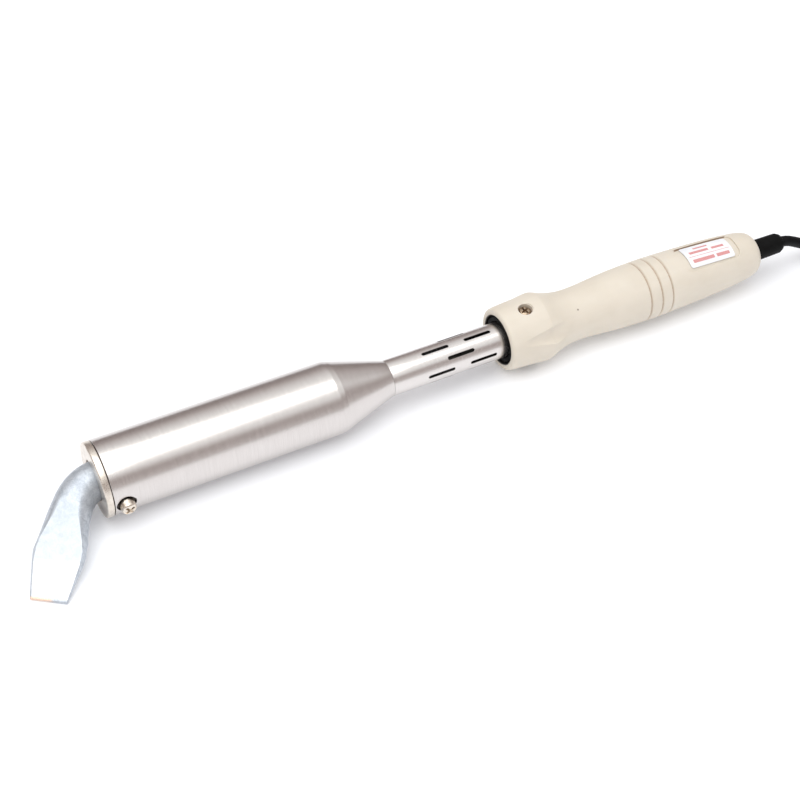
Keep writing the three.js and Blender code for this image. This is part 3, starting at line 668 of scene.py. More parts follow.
    plain("black_plastic", "bush_black_moulding", (0.003, 0.003, 0.003), (0.006, 0.0055, 0.0055), (0.5, 0.65), 0, 1.8, 0.08).set(Specular_IOR_Level=0.06)
    plain("rubber", "lead_jacket", (0.003, 0.003, 0.0035), (0.006, 0.006, 0.0065), (0.42, 0.56), 0, 2.6, 0.12).set(Specular_IOR_Level=0.1)
    plain("relief", "strain_relief_rubber", (0.003, 0.003, 0.003), (0.0055, 0.0055, 0.0055), (0.45, 0.6), 0, 2.0, 0.15).set(Specular_IOR_Level=0.08)
    plain("plug", "plug_rubber", (0.004, 0.004, 0.0045), (0.008, 0.008, 0.0085), (0.42, 0.58), 0, 2.4, 0.25, 0.00008).set(Specular_IOR_Level=0.25)
    plain("beads", "steatite_smoked", (0.03, 0.026, 0.022), (0.07, 0.06, 0.05), (0.6, 0.8), 0, 1.5, 0.3, 0.0001)
    plain("core_steel", "core_tube_steel", (0.42, 0.40, 0.38), (0.52, 0.49, 0.45), (0.3, 0.5), 1.0, 1.2)
    plain("ceramic", "steatite", (0.80, 0.76, 0.68), (0.86, 0.83, 0.77), (0.6, 0.8), 0, 1.5, 0.3, 0.0001)
    plain("brass", "brass_turned", (0.72, 0.55, 0.27), (0.80, 0.64, 0.36), (0.2, 0.36), 1.0, 3.0)
    plain("live", "core_brown", (0.16, 0.07, 0.03), (0.20, 0.09, 0.045), (0.35, 0.5), 0, 2.0)
    plain("neutral", "core_blue", (0.03, 0.12, 0.42), (0.045, 0.15, 0.48), (0.35, 0.5), 0, 2.0)
    plain("earth", "core_green_yellow", (0.08, 0.32, 0.05), (0.42, 0.50, 0.04), (0.35, 0.5), 0, 2.0)
    plain("nylon", "tie_nylon", (0.72, 0.70, 0.65), (0.78, 0.765, 0.72), (0.4, 0.55), 0, 2.0)

    n = Nodes("resistance_wire")
    f = n.noise(n.stretch(n.mm, (6, 1.5, 1.5)), 1.0, 4, 0.6)
    n.set(Base_Color=n.mix(n.span(f, 0.35, 0.65), (0.20, 0.17, 0.15), (0.36, 0.33, 0.30)), Metallic=1.0, Roughness=n.span(f, 0.3, 0.7, 0.35, 0.55))
    n.bump(f, 0.15)
    MAT["wire"] = n.m

    n = Nodes("mica_sheet")
    f = n.noise(n.stretch(n.mm, (0.5, 1.6, 1.6)), 1.0, 5, 0.7)
    n.set(Base_Color=n.mix(n.span(f, 0.35, 0.65), (0.38, 0.30, 0.16), (0.60, 0.52, 0.34)), Roughness=n.span(f, 0.3, 0.7, 0.25, 0.5), Metallic=0.15)
    n.bump(f, 0.2)
    MAT["mica"] = n.m

    n = Nodes("ceramic_fibre")
    f = n.noise(n.stretch(n.mm, (0.6, 2.5, 2.5)), 1.2, 6, 0.75, 1.5)
    n.set(Base_Color=n.mix(n.span(f, 0.3, 0.7), (0.70, 0.68, 0.62), (0.86, 0.845, 0.80)), Roughness=n.span(f, 0.3, 0.7, 0.85, 0.98))
    n.bump(f, 0.6, 0.0004)
    MAT["fibre"] = n.m

    # label stock and its ink
    n = Nodes("label_stock")
    f = n.noise(n.mm, 2.5, 4, 0.6)
    c = n.noise(n.mm, 0.12, 3, 0.5)
    n.set(Base_Color=n.mix(n.span(c, 0.35, 0.65), (0.80, 0.82, 0.86), (0.86, 0.875, 0.90)), Roughness=n.span(f, 0.3, 0.7, 0.36, 0.5))
    n.bump(f, 0.08)
    MAT["label"] = n.m
    n = Nodes("label_ink_red")
    f = n.noise(n.mm, 3.5, 4, 0.7)
    n.set(Base_Color=n.mix(n.span(f, 0.35, 0.7), (0.60, 0.22, 0.22), (0.72, 0.38, 0.38)), Roughness=n.span(f, 0.3, 0.7, 0.4, 0.55))
    n.bump(f, 0.05)
    MAT["ink"] = n.m

    # woven strap
    n = Nodes("strap_weave")
    x, y, z = n.split(n.mm)
    u = n.math("MULTIPLY", x, 1.0)
    v = n.math("ADD", y, z)
    warp = n.math("SINE", n.math("MULTIPLY", u, 2 * math.pi / 0.9))
    weft = n.math("SINE", n.math("MULTIPLY", v, 2 * math.pi / 0.9))
    weave = n.math("MULTIPLY", warp, weft)
    fuzz = n.noise(n.mm, 5.0, 5, 0.7)
    h = n.math("ADD", n.span(weave, -1, 1), n.math("MULTIPLY", fuzz, 0.5))
    n.set(Base_Color=n.mix(n.span(h, 0.3, 1.1), (0.006, 0.006, 0.007), (0.03, 0.03, 0.032)), Roughness=n.span(fuzz, 0.3, 0.7, 0.7, 0.9), Sheen_Weight=0.25, Sheen_Roughness=0.5)
    n.bump(h, 0.5, 0.0002)
    MAT["strap"] = n.m


make_materials()
give(lead, MAT["rubber"])


# ------------------------------------------------------------------ the bit
def bit_mesh():
    TIP = Vector((-37.8, -43.1, -17.33))
    d2 = Vector((-0.553, -0.768, -0.315)).normalized()
    e = Vector((0.779, -0.627, -0.01))
    e = (e - d2 * e.dot(d2)).normalized()
    nn = d2.cross(e)
    if nn.z < 0:
        nn.negate()
    X, d1 = Vector((1, 0, 0)), Vector((-1, 0, 0))
    perp = (d2 - d1 * d2.dot(d1)).normalized()
    bend, RB = math.acos(d1.dot(d2)), 18.0
    lam = (TIP.y * d2.y + TIP.z * d2.z) / (d2.y ** 2 + d2.z ** 2)
    vx, LT = TIP.x - d2.x * lam, RB * math.tan(bend / 2)
    st = []
    for x in [100, 99.4, 99, 80, 60, 40, 30, 22, 16, 12, 9, 6.5, 4, 2, 0]:
        st.append((Vector((x, 0, 0)), d1.copy()))
    c = Vector((vx, 0, 0)) + X * LT + perp * RB
    st = [s for s in st if s[0].x > vx + LT + 1.0]
    for i in range(19):
        a = bend * i / 18
        st.append((c + perp * (-RB * math.cos(a)) + d1 * (RB * math.sin(a)), d1 * math.cos(a) + perp * math.sin(a)))
    LEG = (st[-1][0] - TIP).length
    backs = list(np.arange(56, 28.6, -1.1)) + [28.3, 28.0, 27.7, 26.8, 25.6, 24.4, 23.5, 23.0, 22.5, 21.6, 20.4, 19.2, 18.4, 18.0, 17.6, 16.8] + list(np.arange(15.6, 2.5, -1.2)) + [2.0, 1.4, 0.9, 0.55, 0.3, 0.12, 0.0]
    for b in backs:
        if b < LEG - 0.9:
            st.append((TIP - d2 * float(b), d2.copy()))
    pos = [s[0] for s in st]
    total = sum((pos[i] - pos[i - 1]).length for i in range(1, len(pos)))
    run, along = 0.0, [0.0]
    for i in range(1, len(pos)):
        run += (pos[i] - pos[i - 1]).length
        along.append(run)
    # half widths of the flats and of the whole section by distance from the working edge
    TA = [0, 6, 12, 18, 23, 28, 34, 40, 46, 54]
    FR, FL = [8.1, 8.93, 9.55, 10.2, 10.36, 9.05, 7.15, 4.98, 2.8, 2.6], [7.6, 8.78, 9.77, 10.72, 10.75, 9.66, 7.63, 5.58, 3.9, 2.6]
    SR, SL = [8.6, 9.45, 10.26, 11.22, 11.2, 10.9, 9.6, 8.9, 8.85, 9.05], [8.5, 9.8, 11.0, 12.2, 13.05, 12.4, 11.65, 10.9, 9.9, 9.05]
    NQ, NF = 9, 22
    NU = 4 * NQ + 2 * NF

    def contour(a, j, tipround):
        h = (0.8 + a * 1.6 / 18 if a < 18 else min(2.4 + (a - 18) * 6.65 / 34, 9.05)) - tipround
        m = 1 + min(max((a - 25) / 27, 0), 1)
        B = ease((a - 43) / 11)
        up = 1 if j < 2 * NQ + NF else -1
        k = j if up > 0 else NU - j
        if k <= NQ or k >= NQ + NF:
            right = k <= NQ
            t = k / NQ if right else (2 * NQ + NF - k) / NQ
            q = t * (2 - m) + math.sin(t * math.pi / 2) * (m - 1)
            f, w = float(np.interp(a, TA, FR if right else FL)), float(np.interp(a, TA, SR if right else SL))
            # the ridge along each side is a little blunt
            x = (f + (w - f) * max(0.0, 1 - q ** m) ** (1 / m)) * (1 if right else -1)
            y = h * q
            ang = t * 60 if right else 180 - t * 60
        else:
            g = (k - NQ) / NF
            x = float(np.interp(a, TA, FR)) * (1 - g) - float(np.interp(a, TA, FL)) * g
            y = h
            ang = 60 + 60 * g
        c, s_ = math.cos(ang * RAD), math.sin(ang * RAD)
        return x * (1 - B) + 9.05 * c * B, up * (y * (1 - B) + 9.05 * s_ * B), (y / h if h > 0 else 1) * up

    verts, worn, facet, rear_facet_shade = [], [], [], []
    for k, (P, D) in enumerate(st):
        a = total - along[k]
        n2 = (nn - D * nn.dot(D)).normalized()
        w = n2.cross(D).normalized()
        if w.dot(e) < 0:
            w.negate()
        tipround = 0.0 if a > 0.45 else 0.42 * (1 - math.sqrt(max(0.0, 1 - (1 - a / 0.45) ** 2)))
        tail = 1.0 if k > 1 else (0.93 if k == 0 else 0.975)
        for j in range(NU):
            x, y, lift = contour(a, j, tipround)
            x, y = x * tail, y * tail
            v = P + w * x + n2 * y
            if a < 60:
                # the unevenness of a forged and filed blade
                q = 0.05 * noise.noise(v * 0.16) + 0.018 * noise.noise(v * 0.55)
                v += n2 * (q * ease((60 - a) / 15) * ease(a / 1.2) * lift)
            verts.append(tuple(v))
            left = ease((2.6 - x) / 2.4) if EDGE_SIDE > 0 else ease((x + 2.6) / 2.4)
            worn.append(ease((1.25 - a) / 0.5) * left)
            # painted shade: mask of the rear facet, which the material colours darker
            rear_facet_shade.append(ease((a - 17.7) / 0.7) * (0.75 + 0.25 * ease((a - 18) / 20)))
            facet.append((1.0 if abs(lift) > 0.999 else 0.0) * ease((50 - a) / 8) * ease((a - 0.9) / 0.5))
    m = len(st)
    faces = []
    for k in range(m - 1):
        for i in range(NU):
            j = (i + 1) % NU
            faces.append((k * NU + i, k * NU + j, (k + 1) * NU + j, (k + 1) * NU + i))
    faces.append(tuple(range(NU))[::-1])
    faces.append(tuple(range((m - 1) * NU, m * NU)))
    o = mesh_object("bit_forged", verts, faces, smooth=24)
    at = o.data.attributes.new("worn", "FLOAT", "POINT")
    at.data.foreach_set("value", worn)
    o.data.attributes.new("facet", "FLOAT", "POINT").data.foreach_set("value", facet)
    o.data.attributes.new("rear_facet_shade", "FLOAT", "POINT").data.foreach_set("value", rear_facet_shade)
    return o


EDGE_SIDE = 1
bit = bit_mesh()
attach(bit, "bit")
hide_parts("bit")
give(bit, MAT["bit"])

# ------------------------------------------------------------------ cap, barrel, neck
BARREL_R, CLAMP_X, CLAMP_ANGLES, CLAMP_HOLE = 18.18, 9.1, (-9, 176), 4.7


def radial_rod(name, a, x, low, high, r, segs=48, flare=0.0):
    prof = [(low, 0), (low, r), (high, r)]
    if flare:
        prof += [(high + flare, r + flare), (high + flare + 3, r + flare)]
        prof.append((high + flare + 3, 0))
    else:
        prof.append((high, 0))
    return spin(name, prof, segs, at=(x, 0, 0), direction=radial(a))


cap = lathe("cap_plate", fillet([(3.2, 9.4, 0.2), (0, 10.0, 0.25), (0, 18.18, 0.85), (3.45, 18.18, 0.36), (3.45, 17.0), (15.5, 17.0, 0.3), (15.5, 9.4, 0.2)], 6), 160, smooth=25)
cut(cap, *[radial_rod("t%d" % i, a, CLAMP_X, 5, 25, 2.35) for i, a in enumerate(CLAMP_ANGLES)], smooth=25)
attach(cap, "root")
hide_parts("front_cap")
give(cap, MAT["cap"])

x0, T = 3.75, 0.8
shell_prof = [(x0, BARREL_R, 0.3)] + [(x, BARREL_R) for x in (20, 40, 60, 80, 100, 112)] + [(117.8, BARREL_R, 3.0), (120.5, BARREL_R - 0.45, 2.0), (130, 15.0), (140, 11.68), (148.4, 9.13, 0.06), (148.4, 9.12 - T), (120.5, BARREL_R - 0.45 - T), (118, BARREL_R - T), (x0, BARREL_R - T, 0.1)]
# keep the cone straight between its two ends
for i, p in enumerate(shell_prof):
    if p[0] in (130, 140):
        f = (p[0] - 120.5) / (148.4 - 120.5)
        shell_prof[i] = (p[0], (BARREL_R - 0.45) * (1 - f) + 9.12 * f)
shell = lathe("barrel_tube", fillet(shell_prof, 6), 192, smooth=25)
cut(shell, *[radial_rod("t%d" % i, a, CLAMP_X, 14, 17.95, CLAMP_HOLE, 64, flare=0.18) for i, a in enumerate(CLAMP_ANGLES)], smooth=25)
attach(shell, "root")
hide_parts("barrel_shell")
give(shell, MAT["stainless"])

neck = lathe("neck_vented", fillet([(148.5, 8.22), (148.5, 9.12, 0.05)] + [(x, 9.12) for x in range(160, 232, 8)] + [(236, 9.12, 0.15), (236, 8.22)], 4), 192, smooth=25)
slots = []
for row in range(9):
    for s in ((178.4,) if row % 2 else (166.7, 190.0)):
        a = 2 + row * 40
        u, t = radial(a), Vector((1, 0, 0)).cross(radial(a))
        line = []
        h, r = 14.6 / 2 - 0.9, 0.9
        for k in range(13):
            q = -math.pi / 2 + math.pi * k / 12
            line.append((h + r * math.cos(q), r * math.sin(q)))
        for k in range(13):
            q = math.pi / 2 + math.pi * k / 12
            line.append((-h + r * math.cos(q), r * math.sin(q)))
        slots.append(prism("slot", line, 6.5, 9.0, lambda uu, vv, hh, s=s, u=u, t=t: Vector((s + 7.3 + uu, 0, 0)) + t * vv + u * hh, flare=0.3, top=0.3))
cutter = join("slots", slots)
cut(neck, cutter, smooth=25)
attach(neck, "root")
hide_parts("neck_tube")
give(neck, MAT["neck"])


# ------------------------------------------------------------------ screws
def screw(name, angle, x, tip, seat, shank, head, rise, turn, body, node, metal="nickel"):
    prof = [(tip, 0), (tip, shank - 0.35), (tip + 0.5, shank - 0.05), (seat, shank - 0.05), (seat, head - 0.12), (seat + 0.12, head)]
    top = seat + rise
    # domed head
    for k in range(9):
        q = (math.pi / 2) * k / 8
        prof.append((top - head * 0.42 + head * 0.42 * math.sin(q), head * (0.62 + 0.38 * math.cos(q)) if k < 8 else head * 0.62))
    prof += [(top + 0.02, head * 0.4), (top + 0.03, 0)]
    o = spin(name, prof, 72, at=(x, 0, 0), direction=radial(angle), smooth=28)
    # cross recess with tapered arms
    u = radial(angle)
    e1 = Vector((1, 0, 0))
    e2 = u.cross(e1)
    c, s = math.cos(turn * RAD), math.sin(turn * RAD)
    f1, f2 = e1 * c + e2 * s, e2 * c - e1 * s
    L, w, d = head * 0.76, head * 0.17, head * 0.66
    tools = []
    for A, B in ((f1, f2), (f2, f1)):
        verts, faces = [], []
        for hh, l, ww in ((top - d, L * 0.35, w * 0.6), (top - d * 0.55, L * 0.62, w * 0.85), (top + 0.1, L, w), (top + 1.5, L, w)):
            for sa, sb in ((-1, -1), (1, -1), (1, 1), (-1, 1)):
                verts.append(tuple(Vector((x, 0, 0)) + u * hh + A * (l * sa) + B * (ww * sb)))
        faces.append((3, 2, 1, 0))
        for k in range(3):
            for i in range(4):
                j = (i + 1) % 4
                faces.append((4 * k + i, 4 * k + j, 4 * k + 4 + j, 4 * k + 4 + i))
        faces.append((12, 13, 14, 15))
        tools.append(mesh_object("arm", verts, faces))
    cut(o, *tools, smooth=28)
    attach(o, body)
    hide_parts(node)
    give(o, MAT[metal])
    return o


screw("clamp_screw_lower", -9, CLAMP_X, 9.4, 17.3, 2.0, 3.55, 4.6, 35, "clamp_screw_lower", "bit_clamp_screw_lower")
screw("clamp_screw_upper", 176, CLAMP_X, 9.4, 17.3, 2.0, 3.55, 4.6, 10, "clamp_screw_upper", "bit_clamp_screw_upper")
for nm, a, turn in (("top", 82, 20), ("far", 188, 50), ("near", 294, 75)):
    screw("collar_screw_" + nm, a, 223.6, 9.45, 14.3, 1.45, 3.0, 1.5, turn, "root", "handle_screw_" + nm, "screw_dark")

# ------------------------------------------------------------------ bush and handle
bush = lathe("bush_black", fillet([(211.0, 9.9, 0.3), (211.0, 11.6, 0.3), (211.6, 12.3, 0.3), (231, 12.3), (231, 9.42), (211.5, 9.42, 0.3)], 5), 128, smooth=30)
cut(bush, *[radial_rod("t", a, 223.6, 5, 20, 1.75) for a in (82, 188, 294)])
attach(bush, "root")
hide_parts("neck_bush")
give(bush, MAT["black_plastic"])

HANDLE = [(210.0, 14.3), (210.35, 15.3), (211.3, 16.05), (216.6, 16.6), (225, 17.1), (232.7, 17.8), (233.3, 17.66), (238.8, 15.7), (244.5, 14.2), (248.8, 13.6), (253, 13.45), (259, 13.65), (264.6, 14.1), (273.6, 14.85), (281, 15.3), (291.6, 15.6), (298.3, 15.7), (304.7, 15.6), (313, 15.4), (325.8, 14.95), (339, 14.3), (346, 13.8), (352, 13.2), (357, 12.6), (361, 11.6), (363.4, 10.0), (364.4, 7.5)]
VALLEYS, GROOVES = (22, 156, 241), (291.6, 298.3, 304.7)


def smooth_profile():
    """Monotone cubic through the handle's profile, with its own stations at the grooves."""
    xs, rs = np.array([p[0] for p in HANDLE]), np.array([p[1] for p in HANDLE])
    h, d = np.diff(xs), np.diff(rs) / np.diff(xs)
    m = np.r_[d[0], [0 if d[i - 1] * d[i] <= 0 else (h[i - 1] + h[i]) * 3 / ((2 * h[i] + h[i - 1]) / d[i - 1] + (h[i] + 2 * h[i - 1]) / d[i]) for i in range(1, len(d))], d[-1]]
    def at(x):
        i = min(max(int(np.searchsorted(xs, x) - 1), 0), len(d) - 1)
        t = (x - xs[i]) / h[i]
        return (2 * t ** 3 - 3 * t ** 2 + 1) * rs[i] + (t ** 3 - 2 * t ** 2 + t) * h[i] * m[i] + (-2 * t ** 3 + 3 * t ** 2) * rs[i + 1] + (t ** 3 - t ** 2) * h[i] * m[i + 1]
    return at


outer = smooth_profile()
stations = sorted({round(float(x), 3) for x in [*np.arange(210.0, 212, 0.2), *np.arange(212, 216, 0.8), *np.arange(216, 232, 0.8), *np.arange(232, 234.4, 0.3), *np.arange(234.4, 262, 0.9), *np.arange(262, 352, 1.5), *np.arange(352, 361, 0.8), *np.arange(361, 364.3, 0.3), 364.4, *[g + k for g in GROOVES for k in (-1.1, -0.75, -0.55, -0.4, -0.22, 0, 0.22, 0.4, 0.55, 0.75, 1.1)]]})


def handle_shape(x, r, a):
    if r < 12.9 and x < 352:
        return r
    if 216 < x < 243:
        dip = 0.0
        for v in VALLEYS:
            da = abs(((a - v + 540) % 360) - 180)
            half = 3.5 + 11.5 * min((x - 216) / 18, 1)
            if da < half:
                q = da / half
                dip = max(dip, 2.7 * min((x - 216) / 16, 1) ** 1.1 * (1 - q * q) ** 0.6)
        if x > 234:
            dip *= max(0, (243 - x) / 9) ** 1.3
        r -= dip
    for g in GROOVES:
        q = abs(x - g) / 0.62
        if q < 1:
            r -= 0.7 * math.sqrt(1 - q * q) ** 1.3
    return r


prof = [(x, float(outer(x))) for x in stations] + [(364.3, 6.2), (363.9, 5.9), (347, 5.9), (347, 9.8), (262, 10.5), (231.5, 10.5), (231.5, 12.62), (211.2, 12.62), (210.5, 12.8), (210.15, 13.3), (210.0, 13.9)]
handle = lathe("handle_moulding", prof, 288, smooth=32, shape=handle_shape)

LABEL_C, POCKET_H, LABEL_H, SKEW = 78.5, 33.5, 27.5, -2.5


def on_handle(u, v, h):
    """u along the axis, v in degrees from the label's middle, h above the moulded surface."""
    r = float(outer(min(max(u, 211), 364))) + h
    return Vector((u, 0, 0)) + radial(LABEL_C + v) * r


def rounded_box(u0, u1, v0, v1, cu, cv, n=10, per_side=24, corners=(1, 1, 1, 1)):
    """A box in (u, v) with elliptical corners of cu by cv and evenly divided sides."""
    pts = []
    cs = [(u1, v0, 0), (u1, v1, 1), (u0, v1, 2), (u0, v0, 3)]
    for cx, cy, k in cs:
        sx, sy = (-1 if cx == u1 else 1), (1 if cy == v0 else -1)
        ox, oy = cx + sx * cu * corners[k], cy + sy * cv * corners[k]
        a0 = {0: -90, 1: 0, 2: 90, 3: 180}[k]
        for i in range(n + 1):
            q = (a0 + 90 * i / n) * RAD
            pts.append((ox + cu * corners[k] * math.cos(q), oy + cv * corners[k] * math.sin(q)))
    out = []
    for i, p in enumerate(pts):
        q = pts[(i + 1) % len(pts)]
        steps = max(1, int(max(abs(q[0] - p[0]) / 1.5, abs(q[1] - p[1]) / 3.0)))
        for k in range(steps):
            out.append((p[0] + (q[0] - p[0]) * k / steps, p[1] + (q[1] - p[1]) * k / steps))
    return out


def grid_shell(name, outline, low, high, place, smooth=30, flare=0.0, top=0.0, du=1.6, dv=4.0):
    """Like prism, with the two ends divided into a grid so that they follow a curved surface."""
    bm = bmesh.new()
    n = len(outline)
    cu = sum(p[0] for p in outline) / n
    cv = sum(p[1] for p in outline) / n
    rings = [(low, 0.0), (high, 0.0)] + ([(high + top, flare)] if flare else [])
    vr = []
    for h, f in rings:
        ring = []
        for u, v in outline:
            k = 1.0
            uu, vv = u + (f * (1 if u > cu else -1)), v + (f * 4.0 * (1 if v > cv else -1)) * 1.0
            ring.append(bm.verts.new((uu if f else u, vv if f else v, h)))
        vr.append(ring)
    for a, b in zip(vr, vr[1:]):
        for i in range(n):
            j = (i + 1) % n
            bm.faces.new((a[i], a[j], b[j], b[i]))
    lo = bm.faces.new(vr[0][::-1])
    hi = bm.faces.new(vr[-1])
    u0, u1 = min(p[0] for p in outline), max(p[0] for p in outline)
    v0, v1 = min(p[1] for p in outline), max(p[1] for p in outline)
    for k in range(1, int((u1 - u0) / du)):
        c = u0 + k * du
        geom = bm.verts[:] + bm.edges[:] + bm.faces[:]
        bmesh.ops.bisect_plane(bm, geom=geom, plane_co=(c, 0, 0), plane_no=(1, 0, 0))
    for k in range(1, int((v1 - v0) / dv)):
        c = v0 + k * dv
        geom = bm.verts[:] + bm.edges[:] + bm.faces[:]
        bmesh.ops.bisect_plane(bm, geom=geom, plane_co=(0, c, 0), plane_no=(0, 1, 0))
    for v in bm.verts:
        v.co = W(*place(v.co.x, v.co.y, v.co.z))
    bmesh.ops.recalc_face_normals(bm, faces=bm.faces)
    if bm.calc_volume(signed=True) < 0:
        bmesh.ops.reverse_faces(bm, faces=bm.faces)
    me = bpy.data.meshes.new(name)
    bm.to_mesh(me)
    bm.free()
    shade(me, smooth)
    return link(bpy.data.objects.new(name, me))


pocket = grid_shell("pocket", rounded_box(315.5, 350.0, -POCKET_H, POCKET_H, 3.6, 14.0), -0.75, -0.12, on_handle, flare=0.22, top=0.34)
recess = [radial_rod("r%d" % i, a, 223.6, 14.0, 16.55, 3.6, 64, flare=0.35) for i, a in enumerate((82, 188, 294))]
holes = [radial_rod("h%d" % i, a, 223.6, 8, 16, 1.75, 32) for i, a in enumerate((82, 188, 294))]
cut(handle, pocket, *recess, *holes, smooth=32)
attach(handle, "root")
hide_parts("handle")
give(handle, MAT["cream"])


# label: a thin plate in the recess, with generic bars printed on it
def on_label(u, v, h):
    return on_handle(u, v + SKEW * (u - 332.75) / 27.5 * 1.4, h)


plate = grid_shell("label_plate", rounded_box(319.0, 346.5, -LABEL_H, LABEL_H, 1.2, 4.5, n=6), -0.45, -0.22, on_label, du=1.4, dv=3.5)
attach(plate, "root")
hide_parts("rating_label")
give(plate, MAT["label"])


def bars(name, rects, material):
    parts = []
    for u0, u1, v0, v1 in rects:
        parts.append(grid_shell("bar", [(u0, v0), (u1, v0), (u1, v1), (u0, v1)], -0.215, -0.185, on_label, du=1.4, dv=3.5))
    o = join(name, parts)
    shade(o.data, 30)
    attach(o, "root")
    give(o, material)
    return o


# u along the iron, v degrees round it (positive is away from the camera side)
bars("label_bars_red", [(326.0, 334.5, 14.5, 18.5), (322.0, 333.5, 2.5, 8.5), (335.5, 343.0, 2.5, 8.5), (320.4, 345.2, -4.6, -3.6), (321.5, 334.5, -18.5, -11.0), (336.0, 344.0, -18.5, -11.0)], MAT["ink"])

# ------------------------------------------------------------------ strain relief
relief = lathe("relief_sleeve", fillet([(343.8, 3.15), (343.8, 8.4, 0.3), (346.7, 8.4, 0.3), (346.7, 5.6), (352, 5.6), (360, 5.6), (368.5, 5.58), (375, 5.5), (381.0, 5.4, 1.2), (382.9, 4.5, 0.5), (383.4, 3.9, 0.25), (383.4, 3.15)], 6), 96, smooth=32)
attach(relief, "root")
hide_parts("strain_relief")
give(relief, MAT["relief"])


# ------------------------------------------------------------------ strap round the hank
def strap_mesh():
    w = 26.3 + 0.3
    z0, z1 = FLOOR + 1.5 - 0.3, FLOOR + 19.3 + 0.3
    t = 0.9
    X = 483.0
    inner_path, n = [], 8
    r = 4.2
    for cx, cy, a0 in ((w - r, z1 - r, 0), (-w + r, z1 - r, 90), (-w + r, z0 + r, 180), (w - r, z0 + r, 270)):
        for i in range(n + 1):
            q = (a0 + 90 * i / n) * RAD
            inner_path.append((cx + r * math.cos(q), cy + r * math.sin(q), math.cos(q), math.sin(q)))
    pts = []
    for i, p in enumerate(inner_path):
        q = inner_path[(i + 1) % len(inner_path)]
        d = math.hypot(q[0] - p[0], q[1] - p[1])
        k = max(1, int(d / 2.5))
        for j in range(k):
            f = j / k
            pts.append(tuple(p[m] + (q[m] - p[m]) * f for m in range(4)))
    secs = fillet([(-6, 0, 0.25), (6, 0, 0.25), (6, t, 0.35), (-6, t, 0.35)], 3)
    verts, faces = [], []
    m, s = len(pts), len(secs)
    for (y, z, ny, nz) in pts:
        for (dx, h) in secs:
            verts.append((X + dx, YC + y + ny * h, z + nz * h))
    for i in range(m):
        j = (i + 1) % m
        for k in range(s):
            l = (k + 1) % s
            faces.append((i * s + k, j * s + k, j * s + l, i * s + l))
    loop = mesh_object("strap_loop", verts, faces, smooth=40)
    # the free end of the strap, lying on the loop over the top
    verts, faces = [], []
    path = []
    for i in range(25):
        y = w - 5.0 - 34.0 * i / 24
        path.append((y, z1 + t + 0.02))
    tt = 0.85
    for i, (y, z) in enumerate(path):
        for (dx, h) in fillet([(-5.8, 0, 0.2), (5.8, 0, 0.2), (5.8, tt, 0.3), (-5.8, tt, 0.3)], 3):
            f = 1.0
            if i > 21:
                f = math.cos((i - 21) / 3 * 1.0)
            verts.append((X + dx * f, YC + y, z + h))
    s2 = len(verts) // 25
    for i in range(24):
        for k in range(s2):
            l = (k + 1) % s2
            faces.append((i * s2 + k, (i + 1) * s2 + k, (i + 1) * s2 + l, i * s2 + l))
    faces.append(tuple(range(s2)))
    faces.append(tuple(range(24 * s2, 25 * s2))[::-1])
    tail = mesh_object("strap_end", verts, faces, smooth=40)
    return loop, tail


strap, strap_end = strap_mesh()
for o in (strap, strap_end):
    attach(o, "root")
    give(o, MAT["strap"])
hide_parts("hank_strap")


# ------------------------------------------------------------------ plug
def plug_mesh():
    px, cy = 580.0, 2.5
    z0 = CORD_R + 0.05
    base = [(0, 3.6, 3.4, z0 + 0.6, 2), (1.5, 4.3, 3.6, z0 + 0.9, 2), (14, 5.2, 5.0, 7.2, 2), (15, 9, 7.6, 8.9, 4), (21, 12.2, 10.6, 10.8, 4), (40, 12.6, 10.9, 11.0, 4), (42, 12.9, 10.9, 11.0, 4), (45.5, 12.9, 10.9, 11.0, 4), (46, 12.4, 10.4, 11.0, 4)]
    xs = sorted({0.0, 0.25, 0.7, 1.5, *[float(v) for v in np.arange(2.2, 14, 0.7)], 14.0, 14.3, 14.6, 15.0, 15.8, 17, 18.5, 20, 21, *[float(v) for v in np.arange(22, 40, 0.8)], 40, 40.6, 41.2, 41.6, 42, 43, 44, 45.0, 45.5, 45.8, 46.0})
    def at(x, k):
        for i in range(1, len(base)):
            if x <= base[i][0] + 1e-9:
                a, b = base[i - 1], base[i]
                f = (x - a[0]) / (b[0] - a[0])
                if 14 < x < 21 or x < 1.5:
                    f = ease(f) if x < 15 else f
                return a[k] + (b[k] - a[k]) * f
        return base[-1][k]
    NU = 96
    verts, faces = [], []
    for x in xs:
        a, b, z, pw = (at(x, k) for k in (1, 2, 3, 4))
        if x < 14:
            # flex slots of the relief
            ph = (x - 2.2) % 2.8
            if 2.2 < x < 13.5 and ph > 1.3:
                a, b = a - 0.55, b - 0.55
        if 22.5 < x < 39:
            # finger ribs on the two sides
            rib = 0.45 * max(0, math.sin((x - 22.5) / 2.75 * 2 * math.pi))
        else:
            rib = 0
        for i in range(NU):
            p = 2 * math.pi * i / NU
            r = (abs(math.cos(p) / a) ** pw + abs(math.sin(p) / b) ** pw) ** (-1 / pw)
            r -= rib * ease((abs(math.cos(p)) - 0.55) / 0.3)
            verts.append((px + x, cy + r * math.cos(p), FLOOR + z + r * math.sin(p)))
    m = len(xs)
    for k in range(m - 1):
        for i in range(NU):
            j = (i + 1) % NU
            faces.append((k * NU + i, k * NU + j, (k + 1) * NU + j, (k + 1) * NU + i))
    faces.append(tuple(range(NU)))
    faces.append(tuple(range((m - 1) * NU, m * NU))[::-1])
    return mesh_object("plug_moulding", verts, faces, smooth=35)


plug = plug_mesh()
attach(plug, "root")
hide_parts("plug_body")
give(plug, MAT["plug"])


